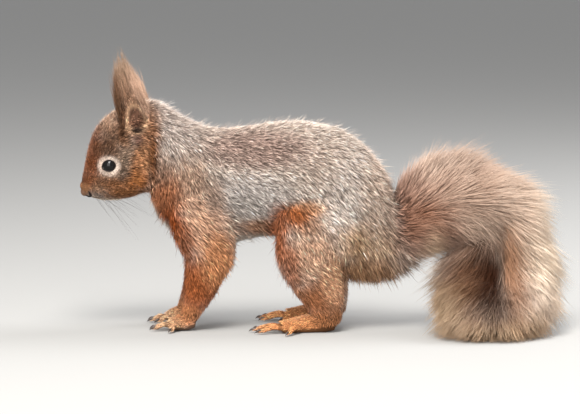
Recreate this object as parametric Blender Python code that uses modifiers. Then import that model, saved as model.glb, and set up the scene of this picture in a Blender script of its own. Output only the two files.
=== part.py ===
"""Red squirrel, life size, standing on four feet with the end of its tail laid on the floor.

Metres, +Z up. The animal faces -X and its left side is at -Y. All places below are written in the
body's own frame, where the midline of head and trunk is the plane y = 0, and CENTRE is the floor
point that becomes the origin.
"""
import math

import bmesh
import bpy
from mathutils import Matrix, Vector

# ---------------------------------------------------------------- driving dimensions
CENTRE = Vector((-0.0002, -0.0182, 0.0))  # floor point under the middle of the finished model
GAP = 0.0003  # clearance between neighbouring solids
VOXEL = 0.0026  # grid on which head, trunk, legs and tail flow into one body
BODY_FACES = 1930  # triangles of that body before it is parted
RING_SIDES = 20  # sides of a section of the body
LIMB_SIDES = 14
DIGIT_SIDES = 5
FLATTEN = math.radians(3.0)  # facets that meet at less than this become one

EYE_RADIUS = 0.0050
EYE_PLACE = Vector((-0.1330, 0.0108, 0.1032))  # centre of the right eye
FAR_FORELEG_STEP = -0.0030  # how far the right foreleg stands ahead of the left one
FAR_HINDLEG_STEP = 0.0035  # how far the right hindleg stands behind the left one
DIGIT_RADIUS = 0.0018
CLAW_RADIUS = 0.0009

# The body's sections from nose to tail: dorsal outline point (x, z), ventral outline point (x, z),
# half width, and how much wider the lower half is than the upper.
BODY_SECTIONS = [
    ((-0.1512, 0.0905), (-0.1490, 0.0862), 0.0026, 0.0),
    ((-0.1508, 0.0955), (-0.1466, 0.0824), 0.0053, 0.0),
    ((-0.1496, 0.1008), (-0.1375, 0.0802), 0.0088, 0.10),
    ((-0.1470, 0.1120), (-0.1285, 0.0806), 0.0124, 0.12),
    ((-0.1438, 0.1214), (-0.1199, 0.0823), 0.0154, 0.12),
    ((-0.1392, 0.1286), (-0.1123, 0.0850), 0.0174, 0.12),
    ((-0.1318, 0.1350), (-0.1065, 0.0850), 0.0180, 0.10),
    ((-0.1180, 0.1420), (-0.1058, 0.0810), 0.0178, 0.08),
    ((-0.1033, 0.1442), (-0.1030, 0.0745), 0.0188, 0.05),
    ((-0.0863, 0.1366), (-0.0970, 0.0640), 0.0230, 0.05),
    ((-0.0674, 0.1292), (-0.0760, 0.0480), 0.0262, 0.05),
    ((-0.0485, 0.1293), (-0.0500, 0.0540), 0.0268, 0.05),
    ((-0.0296, 0.1320), (-0.0320, 0.0565), 0.0282, 0.08),
    ((-0.0101, 0.1326), (-0.0126, 0.0540), 0.0300, 0.08),
    ((0.0107, 0.1285), (0.0019, 0.0440), 0.0300, 0.08),
    ((0.0271, 0.1180), (0.0132, 0.0320), 0.0275, 0.05),
    ((0.0378, 0.1008), (0.0315, 0.0306), 0.0225, 0.0),
    ((0.0436, 0.0880), (0.0470, 0.0355), 0.0205, 0.0),
    ((0.0560, 0.1020), (0.0602, 0.0410), 0.0255, 0.0),
    ((0.0714, 0.1138), (0.0712, 0.0430), 0.0300, 0.0),
    ((0.0900, 0.1164), (0.0795, 0.0440), 0.0325, 0.0),
    ((0.1153, 0.1070), (0.0830, 0.0460), 0.0335, 0.0),
    ((0.1373, 0.0899), (0.0820, 0.0470), 0.0335, 0.0),
]
# The tail's end comes down and is laid towards the left: the section's right and left end
# (x, y, z) across the tail, and its half thickness the other way.
TAIL_END_SECTIONS = [
    ((0.1480, -0.0030, 0.0620), (0.0765, -0.0030, 0.0440), 0.0310, 0.0),
    ((0.1526, -0.0090, 0.0430), (0.0735, -0.0090, 0.0370), 0.0280, 0.0),
    ((0.1520, -0.0180, 0.0312), (0.0724, -0.0180, 0.0288), 0.0250, 0.0),
    ((0.1500, -0.0290, 0.0236), (0.0714, -0.0290, 0.0224), 0.0220, 0.0),
    ((0.1462, -0.0400, 0.0188), (0.0712, -0.0400, 0.0182), 0.0190, 0.0),
    ((0.1405, -0.0510, 0.0147), (0.0725, -0.0510, 0.0143), 0.0160, 0.0),
    ((0.1325, -0.0620, 0.0115), (0.0760, -0.0620, 0.0115), 0.0128, 0.0),
    ((0.1215, -0.0735, 0.0086), (0.0825, -0.0735, 0.0086), 0.0090, 0.0),
    ((0.1080, -0.0840, 0.0052), (0.0925, -0.0840, 0.0052), 0.0048, 0.0),
]
# Limb stations: centre (x, y, z), half depth fore and aft, half width.
FORELEG = [
    ((-0.0800, 0.0150, 0.0860), 0.0190, 0.0110),
    ((-0.0755, 0.0185, 0.0660), 0.0205, 0.0125),
    ((-0.0705, 0.0200, 0.0500), 0.0175, 0.0112),
    ((-0.0728, 0.0200, 0.0370), 0.0132, 0.0092),
    ((-0.0764, 0.0195, 0.0245), 0.0098, 0.0074),
    ((-0.0810, 0.0188, 0.0140), 0.0072, 0.0060),
    ((-0.0845, 0.0182, 0.0060), 0.0058, 0.0052),
]
HINDLEG = [
    ((0.0020, 0.0180, 0.0820), 0.0230, 0.0120),
    ((-0.0030, 0.0220, 0.0640), 0.0290, 0.0155),
    ((-0.0080, 0.0245, 0.0480), 0.0225, 0.0150),
    ((-0.0045, 0.0250, 0.0350), 0.0180, 0.0128),
    ((0.0005, 0.0245, 0.0220), 0.0140, 0.0100),
    ((0.0030, 0.0240, 0.0110), 0.0105, 0.0080),
    ((0.0030, 0.0240, 0.0050), 0.0080, 0.0070),
]
PALM = [
    ((-0.0790, 0.0180, 0.0055), 0.0042, 0.0040),
    ((-0.0840, 0.0182, 0.0060), 0.0062, 0.0052),
    ((-0.0900, 0.0185, 0.0048), 0.0052, 0.0060),
    ((-0.0950, 0.0188, 0.0034), 0.0038, 0.0062),
]
SOLE = [
    ((0.0085, 0.0235, 0.0050), 0.0048, 0.0044),
    ((0.0020, 0.0240, 0.0062), 0.0070, 0.0062),
    ((-0.0080, 0.0255, 0.0056), 0.0062, 0.0062),
    ((-0.0180, 0.0272, 0.0044), 0.0050, 0.0070),
    ((-0.0250, 0.0285, 0.0036), 0.0040, 0.0074),
]
# Digits: where each leaves the paw (x, y), its length, and its direction from straight ahead,
# in degrees, outwards positive.
FINGERS = [
    ((-0.0925, 0.0140), 0.0085, -22.0),
    ((-0.0945, 0.0170), 0.0105, -6.0),
    ((-0.0945, 0.0205), 0.0105, 12.0),
    ((-0.0900, 0.0235), 0.0090, 62.0),
]
TOES = [
    ((-0.0190, 0.0218), 0.0115, -34.0),
    ((-0.0245, 0.0238), 0.0165, -12.0),
    ((-0.0255, 0.0282), 0.0170, 2.0),
    ((-0.0245, 0.0325), 0.0150, 16.0),
    ((-0.0150, 0.0335), 0.0135, 62.0),
]

COATS = {
    "russet": ((0.42, 0.17, 0.07), 0.85),
    "grizzled": ((0.40, 0.30, 0.22), 0.85),
    "tail_coat": ((0.52, 0.36, 0.24), 0.90),
    "claw": ((0.05, 0.035, 0.03), 0.40),
    "eye": ((0.008, 0.006, 0.006), 0.05),
    "nose_skin": ((0.06, 0.035, 0.03), 0.50),
}


# ---------------------------------------------------------------- helpers
def clear_scene():
    for obj in list(bpy.data.objects):
        bpy.data.objects.remove(obj, do_unlink=True)


def coat_material(name):
    colour, roughness = COATS[name]
    mat = bpy.data.materials.get(name) or bpy.data.materials.new(name)
    mat.use_nodes = True
    shader = mat.node_tree.nodes["Principled BSDF"]
    shader.inputs["Base Color"].default_value = (*colour, 1.0)
    shader.inputs["Roughness"].default_value = roughness
    shader.inputs["Metallic"].default_value = 0.0
    return mat


def add_object(name, mesh, home):
    obj = bpy.data.objects.new(name, mesh)
    home.objects.link(obj)
    return obj


def catmull_rom(values, steps):
    """Points of a smooth curve through the values, with steps of them between each pair."""
    ends = [values[0], *values, values[-1]]
    out = []
    for a, b, c, d in zip(ends, ends[1:], ends[2:], ends[3:]):
        for k in range(steps):
            t = k / steps
            out.append(
                0.5 * (2 * b + (c - a) * t + (2 * a - 5 * b + 4 * c - d) * t * t
                       + (3 * b - a - 3 * c + d) * t ** 3)
            )
    out.append(values[-1])
    return out


def loft(name, rings, home):
    """A closed skin through unlike rings, each a list of points, with a fan at both ends."""
    bm = bmesh.new()
    loops = [[bm.verts.new(p) for p in ring] for ring in rings]
    for one, two in zip(loops, loops[1:]):
        for k in range(len(one)):
            nxt = (k + 1) % len(one)
            bm.faces.new((one[k], one[nxt], two[nxt], two[k]))
    for ring in (loops[0], loops[-1]):
        middle = sum((v.co for v in ring), Vector()) / len(ring)
        tip = bm.verts.new(middle)
        for k in range(len(ring)):
            bm.faces.new((ring[k], ring[(k + 1) % len(ring)], tip))
    bmesh.ops.recalc_face_normals(bm, faces=bm.faces)
    mesh = bpy.data.meshes.new(name)
    bm.to_mesh(mesh)
    bm.free()
    return add_object(name, mesh, home)


def ellipse_ring(centre, up, side, sides, flare=0.0):
    """A ring round centre whose half axes are the vectors up and side; flare widens its lower half."""
    ring = []
    for k in range(sides):
        angle = 2 * math.pi * k / sides
        rise = math.cos(angle)
        ring.append(centre + up * rise + side * math.sin(angle) * (1 - flare * rise))
    return ring


def tangents(centres):
    out = []
    for k in range(len(centres)):
        ahead = centres[min(k + 1, len(centres) - 1)]
        behind = centres[max(k - 1, 0)]
        out.append((ahead - behind).normalized())
    return out


def body_loft(home, steps=4):
    """Head, neck, trunk and tail in one, from the outline points and the half widths."""
    tops = [Vector((p[0], 0, p[1])) for p, _, _, _ in BODY_SECTIONS]
    tops += [Vector(p) for p, _, _, _ in TAIL_END_SECTIONS]
    bottoms = [Vector((q[0], 0, q[1])) for _, q, _, _ in BODY_SECTIONS]
    bottoms += [Vector(q) for _, q, _, _ in TAIL_END_SECTIONS]
    sections = BODY_SECTIONS + TAIL_END_SECTIONS
    widths = catmull_rom([s[2] for s in sections], steps)
    flares = catmull_rom([s[3] for s in sections], steps)
    tops = catmull_rom(tops, steps)
    bottoms = catmull_rom(bottoms, steps)
    centres = [(a + b) / 2 for a, b in zip(tops, bottoms)]
    rings = []
    for top, bottom, centre, width, flare, along in zip(
            tops, bottoms, centres, widths, flares, tangents(centres)):
        up = (top - bottom) / 2
        side = along.cross(up).normalized() * width
        rings.append(ellipse_ring(centre, up, side, RING_SIDES, flare))
    return loft("body", rings, home)


def limb_loft(name, stations, home, sides=LIMB_SIDES, steps=3, side=1, step=0.0):
    """A limb through its stations; side is 1 for right and -1 for left, step moves it along X."""
    places = [Vector((c[0] + step, c[1] * side, c[2])) for c, _, _ in stations]
    centres = catmull_rom(places, steps)
    depths = catmull_rom([s[1] for s in stations], steps)
    widths = catmull_rom([s[2] for s in stations], steps)
    rings = []
    for centre, depth, width, along in zip(centres, depths, widths, tangents(centres)):
        across = Vector((0, 1, 0))
        across = (across - along * across.dot(along)).normalized()
        rings.append(ellipse_ring(centre, across.cross(along) * depth, across * width, sides))
    return loft(name, rings, home)


def evaluated_mesh(obj):
    graph = bpy.context.evaluated_depsgraph_get()
    return bpy.data.meshes.new_from_object(obj.evaluated_get(graph))


def settle(obj):
    """Applies the object's modifiers to its mesh."""
    mesh = evaluated_mesh(obj)
    obj.modifiers.clear()
    obj.data = mesh


def boolean(obj, other, operation):
    cut = obj.modifiers.new(operation.lower(), "BOOLEAN")
    cut.operation = operation
    cut.object = other
    cut.solver = "EXACT"
    settle(obj)


def discard(*objects):
    for obj in objects:
        bpy.data.objects.remove(obj, do_unlink=True)


def grown(obj, home):
    """A copy of obj whose surface stands one gap further out, for use as a cutter."""
    copy = add_object(obj.name + "_grown", obj.data.copy(), home)
    grow = copy.modifiers.new("grow", "DISPLACE")
    grow.strength = GAP
    grow.mid_level = 0.0
    settle(copy)
    return copy


def make_room(obj, neighbour, home):
    """Takes neighbour, and a gap round it, out of obj."""
    cutter = grown(neighbour, home)
    boolean(obj, cutter, "DIFFERENCE")
    discard(cutter)


def fuse(name, parts, home):
    """One flowing body out of overlapping lofts: joined on a voxel grid, smoothed and thinned out."""
    bm = bmesh.new()
    for part in parts:
        bm.from_mesh(part.data)
    mesh = bpy.data.meshes.new(name)
    bm.to_mesh(mesh)
    bm.free()
    whole = add_object(name, mesh, home)
    grid = whole.modifiers.new("grid", "REMESH")
    grid.mode = "VOXEL"
    grid.voxel_size = VOXEL
    soften = whole.modifiers.new("soften", "SMOOTH")
    soften.factor = 0.5
    soften.iterations = 5
    settle(whole)
    triangles = sum(len(p.vertices) - 2 for p in whole.data.polygons)
    thin = whole.modifiers.new("thin", "DECIMATE")
    thin.ratio = BODY_FACES / triangles
    settle(whole)
    discard(*parts)
    return whole


def ellipsoid(name, centre, radii, home, lean=0.0, segments=16, rings=10):
    """A UV sphere stretched to radii and turned by lean degrees about Y, at its place."""
    bm = bmesh.new()
    bmesh.ops.create_uvsphere(bm, u_segments=segments, v_segments=rings, radius=1.0)
    bmesh.ops.scale(bm, vec=Vector(radii), verts=bm.verts)
    bmesh.ops.rotate(bm, cent=Vector(), matrix=Matrix.Rotation(math.radians(lean), 3, "Y"), verts=bm.verts)
    bmesh.ops.translate(bm, vec=Vector(centre), verts=bm.verts)
    mesh = bpy.data.meshes.new(name)
    bm.to_mesh(mesh)
    bm.free()
    return add_object(name, mesh, home)


def block(name, low, high, home):
    """An upright box from its lowest to its highest corner."""
    low, high = Vector(low), Vector(high)
    bm = bmesh.new()
    bmesh.ops.create_cube(bm, size=1.0)
    bmesh.ops.scale(bm, vec=high - low, verts=bm.verts)
    bmesh.ops.translate(bm, vec=(high + low) / 2, verts=bm.verts)
    mesh = bpy.data.meshes.new(name)
    bm.to_mesh(mesh)
    bm.free()
    return add_object(name, mesh, home)


def half_space(name, point, normal, home, reach=0.30):
    """A large box whose one face passes through point, with everything on the side that normal points to."""
    normal = Vector(normal).normalized()
    bm = bmesh.new()
    bmesh.ops.create_cube(bm, size=2 * reach)
    bmesh.ops.translate(bm, vec=Vector((0, 0, reach)), verts=bm.verts)
    bmesh.ops.rotate(bm, cent=Vector(), matrix=normal.to_track_quat("Z", "Y").to_matrix(), verts=bm.verts)
    bmesh.ops.translate(bm, vec=Vector(point), verts=bm.verts)
    mesh = bpy.data.meshes.new(name)
    bm.to_mesh(mesh)
    bm.free()
    return add_object(name, mesh, home)


def part_off(whole, name, region, homes):
    """Moves what lies inside region out of whole into a node of its own, with a thin cut between them."""
    model, cutters = homes
    piece = add_object(name, whole.data.copy(), model)
    boolean(piece, region, "INTERSECT")
    make_room(whole, region, cutters)
    discard(region)
    return piece


# ---------------------------------------------------------------- paws
def digit(name, base, length, heading, height, side, home):
    """A toe or finger: it leaves the paw, arches over its knuckle and comes down on its pad."""
    turn = math.radians(heading)
    ahead = Vector((-math.cos(turn), math.sin(turn), 0))
    start = Vector((base[0], base[1], height))
    path = [
        start - ahead * 0.0035,
        start,
        start + ahead * length * 0.45 + Vector((0, 0, 0.0006)),
        start + ahead * length * 0.8 + Vector((0, 0, 0.0024 - height)),
        start + ahead * length + Vector((0, 0, 0.0016 - height)),
    ]
    sizes = [1.0, 1.1, 1.0, 0.92, 0.6]
    stations = [((p.x, p.y, p.z), DIGIT_RADIUS * s, DIGIT_RADIUS * s) for p, s in zip(path, sizes)]
    toe = limb_loft(name, stations, home, sides=DIGIT_SIDES, steps=1, side=side)
    return toe, path[-1], ahead


def claw(name, root, ahead, side, homes):
    """A small hooked cone that leaves the end of a digit and comes down to the floor."""
    path = [
        root - ahead * 0.0022 + Vector((0, 0, 0.0006)),
        root + ahead * 0.0004 + Vector((0, 0, 0.0007)),
        root + ahead * 0.0020 + Vector((0, 0, 0.0001)),
        root + ahead * 0.0032 + Vector((0, 0, -0.0010)),
    ]
    sizes = [0.9, 1.0, 0.65, 0.3]
    stations = [((p.x, p.y, p.z), CLAW_RADIUS * s, CLAW_RADIUS * s) for p, s in zip(path, sizes)]
    hook = limb_loft(name, stations, homes[0], sides=4, steps=1, side=side)
    hook.data.materials.append(coat_material("claw"))
    return hook


def paw(name, stations, digits, claw_name, side, step, homes):
    """Palm or sole with its digits in one solid, flat underneath, and a claw on each digit."""
    model, cutters = homes
    pad = limb_loft(name, stations, model, sides=12, steps=1, side=side)
    claws = []
    for number, (base, length, heading) in enumerate(digits, start=1):
        toe, tip, ahead = digit(f"{name}_digit", base, length, heading, 0.0032, side, cutters)
        boolean(pad, toe, "UNION")
        discard(toe)
        claws.append(claw(f"{claw_name}_{number}", tip, ahead, side, homes))
    ground = half_space("ground", (0, 0, 0), (0, 0, -1), cutters)
    boolean(pad, ground, "DIFFERENCE")
    discard(ground)
    for hook in claws:
        make_room(pad, hook, cutters)
    for obj in [pad, *claws]:
        obj.data.transform(Matrix.Translation((step, 0, 0)))
    pad.data.materials.append(coat_material("russet"))
    return pad


# ---------------------------------------------------------------- head pieces
def ear(name, side, homes):
    """An upright leaf with a scooped outer face, seated in the top of the head."""
    model, cutters = homes
    stations = [
        ((-0.1145, 0.0120, 0.1180), 0.0080, 0.0050),
        ((-0.1155, 0.0133, 0.1260), 0.0100, 0.0052),
        ((-0.1165, 0.0142, 0.1340), 0.0104, 0.0046),
        ((-0.1185, 0.0148, 0.1420), 0.0085, 0.0036),
        ((-0.1205, 0.0150, 0.1490), 0.0045, 0.0022),
    ]
    leaf = limb_loft(name, stations, model, sides=12, steps=1, side=side)
    scoop = ellipsoid("scoop", (-0.1160, 0.0198 * side, 0.1315), (0.0066, 0.0058, 0.0105), cutters,
                      lean=-10, segments=12, rings=8)
    boolean(leaf, scoop, "DIFFERENCE")
    discard(scoop)
    leaf.data.materials.append(coat_material("russet"))
    return leaf


def ear_tuft(name, side, homes):
    """The long hair that rises from the back and the tip of the ear and ends in a point."""
    model, cutters = homes
    stations = [
        ((-0.1190, 0.0138, 0.1380), 0.0096, 0.0048),
        ((-0.1205, 0.0142, 0.1470), 0.0098, 0.0050),
        ((-0.1222, 0.0146, 0.1560), 0.0092, 0.0045),
        ((-0.1240, 0.0150, 0.1640), 0.0072, 0.0036),
        ((-0.1256, 0.0153, 0.1710), 0.0046, 0.0026),
        ((-0.1268, 0.0155, 0.1765), 0.0020, 0.0014),
    ]
    tuft = limb_loft(name, stations, model, sides=12, steps=1, side=side)
    tuft.data.materials.append(coat_material("russet"))
    return tuft


def build():
    clear_scene()
    model = bpy.data.collections.new("red_squirrel")
    cutters = bpy.data.collections.new("cutters")
    for collection in (model, cutters):
        bpy.context.scene.collection.children.link(collection)
    cutters.hide_render = True
    homes = (model, cutters)

    lofts = [body_loft(cutters)]
    for side, fore_step, hind_step in ((-1, 0.0, 0.0), (1, FAR_FORELEG_STEP, FAR_HINDLEG_STEP)):
        lofts.append(limb_loft("foreleg", FORELEG, cutters, side=side, step=fore_step))
        lofts.append(limb_loft("hindleg", HINDLEG, cutters, side=side, step=hind_step))
    whole = fuse("trunk", lofts, model)
    ground = half_space("ground", (0, 0, 0), (0, 0, -1), cutters)
    boolean(whole, ground, "DIFFERENCE")
    discard(ground)

    for word, side, fore_step, hind_step in (
            ("left", -1, 0.0, 0.0), ("right", 1, FAR_FORELEG_STEP, FAR_HINDLEG_STEP)):
        hand = paw(f"hand_{word}", PALM, FINGERS, f"hand_claw_{word}", side, fore_step, homes)
        foot = paw(f"foot_{word}", SOLE, TOES, f"foot_claw_{word}", side, hind_step, homes)
        pinna = ear(f"ear_{word}", side, homes)
        tuft = ear_tuft(f"ear_tuft_{word}", side, homes)
        make_room(pinna, tuft, cutters)
        place = (EYE_PLACE.x, EYE_PLACE.y * side, EYE_PLACE.z)
        eye = ellipsoid(f"eye_{word}", place, (EYE_RADIUS,) * 3, model, segments=12, rings=8)
        eye.data.materials.append(coat_material("eye"))
        for neighbour in (hand, foot, pinna, tuft, eye):
            make_room(whole, neighbour, cutters)

    nose = ellipsoid("nose", (-0.1500, 0, 0.0868), (0.0028, 0.0030, 0.0034), model, lean=20, segments=10, rings=6)
    nose.data.materials.append(coat_material("nose_skin"))
    make_room(whole, nose, cutters)

    coats = {}
    # the tail, in five lengths from its root
    tail_region = half_space("region", (0.0465, 0, 0.060), (1, 0, 0.10), cutters)
    tail = part_off(whole, "tail_root", tail_region, homes)
    tail_cuts = [
        ("tail_tip", (0.100, -0.0300, 0.020), (-0.05, -0.92, -0.38)),
        ("tail_fall", (0.0760, 0, 0.0420), (0.40, 0, -0.917)),
        ("tail_crown", (0.0830, 0, 0.0460), (0.89, 0, -0.46)),
        ("tail_rise", (0.0720, 0, 0.0780), (1, 0, 0)),
    ]
    for name, point, normal in tail_cuts:
        coats[part_off(tail, name, half_space("region", point, normal, cutters), homes)] = "tail_coat"
    coats[tail] = "tail_coat"

    for word, side, fore_step, hind_step in (
            ("left", -1, 0.0, 0.0), ("right", 1, FAR_FORELEG_STEP, FAR_HINDLEG_STEP)):
        near, far = sorted((0.0035 * side, 0.060 * side))
        low = block("region", (-0.110, near, -0.01), (-0.050 + fore_step, far, 0.0440), cutters)
        coats[part_off(whole, f"forearm_{word}", low, homes)] = "russet"
        arm = ellipsoid("region", (-0.0745 + fore_step, 0.0300 * side, 0.0640), (0.0235, 0.0200, 0.0260), cutters)
        coats[part_off(whole, f"upper_arm_{word}", arm, homes)] = "russet"
        near, far = sorted((0.0050 * side, 0.070 * side))
        low = block("region", (-0.040, near, -0.01), (0.040 + hind_step, far, 0.0300), cutters)
        coats[part_off(whole, f"shank_{word}", low, homes)] = "russet"
        thigh = ellipsoid("region", (-0.0030 + hind_step, 0.0370 * side, 0.0560), (0.0330, 0.0230, 0.0330), cutters)
        coats[part_off(whole, f"thigh_{word}", thigh, homes)] = "grizzled"

    head = part_off(whole, "head", half_space("region", (-0.1105, 0, 0.110), (-1, 0, 0.02), cutters), homes)
    coats[head] = "russet"
    neck = part_off(whole, "neck", half_space("region", (-0.0900, 0, 0.100), (-1, 0, 0.12), cutters), homes)
    coats[neck] = "grizzled"
    chest = part_off(whole, "chest", half_space("region", (-0.0400, 0, 0.090), (-1, 0, 0), cutters), homes)
    coats[chest] = "grizzled"
    whole.name = "belly_and_rump"
    coats[whole] = "grizzled"

    for obj, coat in coats.items():
        flat = obj.modifiers.new("flatten", "DECIMATE")
        flat.decimate_type = "DISSOLVE"
        flat.angle_limit = FLATTEN
        settle(obj)
        obj.data.materials.clear()
        obj.data.materials.append(coat_material(coat))
    for obj in model.objects:
        obj.data.transform(Matrix.Translation(-CENTRE))
        obj.data.shade_smooth()


build()
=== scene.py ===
# Red squirrel, life size, on all fours: skin, coat, eyes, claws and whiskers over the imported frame.
# Places are written in the animal's own frame, in metres: it looks along -X, its midline is y = 0,
# its left side is at -Y and the floor is z = 0. onFrame is that frame's origin among the CAD nodes.
import math

import bmesh
import bpy
import numpy as np
from mathutils import Matrix, Vector


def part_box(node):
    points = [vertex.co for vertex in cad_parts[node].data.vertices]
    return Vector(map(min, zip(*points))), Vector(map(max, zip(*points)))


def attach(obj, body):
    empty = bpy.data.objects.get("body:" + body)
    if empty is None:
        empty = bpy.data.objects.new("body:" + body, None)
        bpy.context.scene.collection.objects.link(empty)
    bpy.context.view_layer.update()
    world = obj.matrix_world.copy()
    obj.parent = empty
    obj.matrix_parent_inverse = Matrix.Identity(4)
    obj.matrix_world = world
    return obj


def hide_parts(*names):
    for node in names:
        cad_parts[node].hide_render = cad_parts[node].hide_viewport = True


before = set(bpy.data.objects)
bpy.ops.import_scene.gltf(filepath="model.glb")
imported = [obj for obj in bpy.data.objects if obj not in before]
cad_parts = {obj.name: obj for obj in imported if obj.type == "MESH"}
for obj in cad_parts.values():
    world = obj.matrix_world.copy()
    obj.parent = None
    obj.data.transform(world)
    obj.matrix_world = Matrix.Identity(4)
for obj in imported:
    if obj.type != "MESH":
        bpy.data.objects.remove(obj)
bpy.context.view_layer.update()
mm = 0.001
turn = 2 * math.pi


def middleOf(node):
    low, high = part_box(node)
    return (np.array(low) + np.array(high)) / 2


# the right eye; the left is its mirror image
eyeForm = {"place": (-0.1330, 0.0108, 0.1032), "radius": 0.0050}
onFrame = np.array([
    middleOf("eye_left")[0] - eyeForm["place"][0],
    (middleOf("eye_left")[1] + middleOf("eye_right")[1]) / 2,
    0.0,
])
sides = {"left": -1, "right": 1}
legStep = {  # the right legs stand a little out of step with the left ones
    "fore": {"left": 0.0, "right": -3.0 * mm},
    "hind": {"left": 0.0, "right": 3.5 * mm},
}

# camera, light and floor
studio = {
    "target": (-0.020, 0.0, 0.0759), "distance": 2.03, "elevation": 6.0, "lens": 200.0, "sensor": 36.0,
    "lamps": {  # place, size, power, colour
        "overhead": ((-0.12, -0.70, 1.15), 0.55, 24.0, (1.0, 0.98, 0.95)),
        "front": ((-0.4, -1.6, 0.65), 1.5, 32.0, (1.0, 0.97, 0.94)),
        "back": ((1.15, 0.45, 0.85), 0.8, 26.0, (0.97, 0.98, 1.0)),
        "glint": ((0.10, -0.30, 1.30), 0.45, 8.0, (1.0, 0.99, 0.97)),
    },
    "sky": (0.90, 0.91, 0.93), "skyStrength": 0.72,
    "floor": (0.30, 0.295, 0.285), "floorRoughness": 0.85, "floorReach": 6.0,
}


def setCamera():
    lens = bpy.data.cameras.new("camera")
    lens.lens = studio["lens"]
    lens.sensor_width = studio["sensor"]
    lens.clip_end = 20.0
    camera = bpy.data.objects.new("camera", lens)
    tilt = math.radians(studio["elevation"])
    away = np.array([0.0, -math.cos(tilt), math.sin(tilt)]) * studio["distance"]
    camera.location = np.array(studio["target"]) + onFrame + away
    camera.rotation_euler = (math.pi / 2 - tilt, 0, 0)
    bpy.context.collection.objects.link(camera)
    bpy.context.scene.camera = camera


def setLights():
    for name, (place, size, power, colour) in studio["lamps"].items():
        lamp = bpy.data.lights.new(name, "AREA")
        lamp.size = size
        lamp.energy = power
        lamp.color = colour
        holder = bpy.data.objects.new(name, lamp)
        holder.location = place
        holder.rotation_euler = (-holder.location).to_track_quat("-Z", "Y").to_euler()
        bpy.context.collection.objects.link(holder)
    world = bpy.data.worlds.new("sky")
    world.use_nodes = True
    backdrop = world.node_tree.nodes["Background"]
    backdrop.inputs["Color"].default_value = (*studio["sky"], 1)
    backdrop.inputs["Strength"].default_value = studio["skyStrength"]
    bpy.context.scene.world = world
    bpy.context.scene.view_settings.view_transform = "Standard"


# working surfaces out
def throughStations(values, u):
    # Catmull-Rom curve through the rows of values, read at the station numbers u
    values = np.asarray(values, float)
    last = len(values) - 1
    i = np.clip(np.floor(u).astype(int), 0, last - 1)
    t = (u - i).reshape(-1, *([1] * (values.ndim - 1)))
    a, b, c, d = values[np.maximum(i - 1, 0)], values[i], values[i + 1], values[np.minimum(i + 2, last)]
    return 0.5 * (2 * b + (c - a) * t + (2 * a - 5 * b + 4 * c - d) * t ** 2
                  + (3 * b - a - 3 * c + d) * t ** 3)


def unit(vectors):
    return vectors / np.maximum(np.linalg.norm(vectors, axis=-1, keepdims=True), 1e-12)


def mirrored(points):
    # the same places on the right side
    near = points.copy()
    near[:, 1] = np.abs(near[:, 1])
    return near


def softNoise(points, grain, seed):
    # random values at the corners of cubes of side grain, blended smoothly between them, -1 to 1
    cell = points / grain
    base = np.floor(cell).astype(np.int64)
    part = cell - base
    part = part * part * (3 - 2 * part)
    total = np.zeros(len(points))
    for corner in np.ndindex(2, 2, 2):
        key = (base + corner) * (73856093, 19349663, 83492791)
        mixed = (key[:, 0] ^ key[:, 1] ^ key[:, 2] ^ (seed * 2654435761)) & 0xFFFFFFFF
        mixed = ((mixed ^ (mixed >> 13)) * 1274126177) & 0xFFFFFFFF
        value = ((mixed ^ (mixed >> 16)) & 0xFFFF) / 32767.5 - 1
        total += value * np.prod(np.where(corner, part, 1 - part), axis=1)
    return total


def softVector(points, grain, seed):
    return np.stack([softNoise(points, grain, seed + k) for k in range(3)], axis=1)


def makeMesh(name, points, faces, material, colours=None, patches=None, smooth=True):
    # a mesh from whole arrays: points (n, 3), faces (m, 3 or 4), colours (n, 3), patches (n, 2) as OFBake
    mesh = bpy.data.meshes.new(name)
    corners = faces.shape[1]
    mesh.vertices.add(len(points))
    mesh.vertices.foreach_set("co", np.ascontiguousarray(points, np.float32).ravel())
    mesh.loops.add(faces.size)
    mesh.loops.foreach_set("vertex_index", faces.astype(np.int32).ravel())
    mesh.polygons.add(len(faces))
    mesh.polygons.foreach_set("loop_start", np.arange(0, faces.size, corners, dtype=np.int32))
    mesh.update(calc_edges=True)
    mesh.validate()
    mesh.polygons.foreach_set("use_smooth", np.full(len(mesh.polygons), smooth))
    if colours is not None:
        paint(mesh, colours)
    if patches is not None:
        layer = mesh.uv_layers.new(name="OFBake")
        layer.uv.foreach_set("vector", patches[faces.ravel()].astype(np.float32).ravel())
    piece = bpy.data.objects.new(name, mesh)
    piece.data.materials.append(material)
    bpy.context.collection.objects.link(piece)
    return piece


def paint(mesh, colours):
    layer = mesh.color_attributes.new("coatColour", "FLOAT_COLOR", "POINT")
    rgba = np.ones((len(colours), 4), np.float32)
    rgba[:, :3] = colours
    layer.data.foreach_set("color", rgba.ravel())


def gridFaces(rows, columns):
    # quads of a tube of rows rings with columns points each, closed round
    r, c = np.meshgrid(np.arange(rows - 1), np.arange(columns), indexing="ij")
    n = (c + 1) % columns
    quads = np.stack([r * columns + c, r * columns + n, (r + 1) * columns + n, (r + 1) * columns + c], -1)
    return quads.reshape(-1, 4)


def tubeMesh(name, rings, material, colours=None):
    # a closed skin along rings (rows, columns, 3): its sides, and a fan to a middle point at each end
    rows, columns, _ = rings.shape
    points = np.concatenate([rings.reshape(-1, 3), rings[0].mean(0)[None], rings[-1].mean(0)[None]])
    quads = gridFaces(rows, columns)
    k = np.arange(columns)
    n = (k + 1) % columns
    first = np.stack([n, k, np.full(columns, rows * columns)], 1)
    end = (rows - 1) * columns
    final = np.stack([end + k, end + n, np.full(columns, rows * columns + 1)], 1)
    triangles = np.concatenate([quads[:, [0, 1, 2]], quads[:, [0, 2, 3]], first, final])
    solid = signedVolume(points, triangles)
    if solid < 0:
        triangles = triangles[:, ::-1]
    return makeMesh(name, points, triangles, material, colours)


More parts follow.
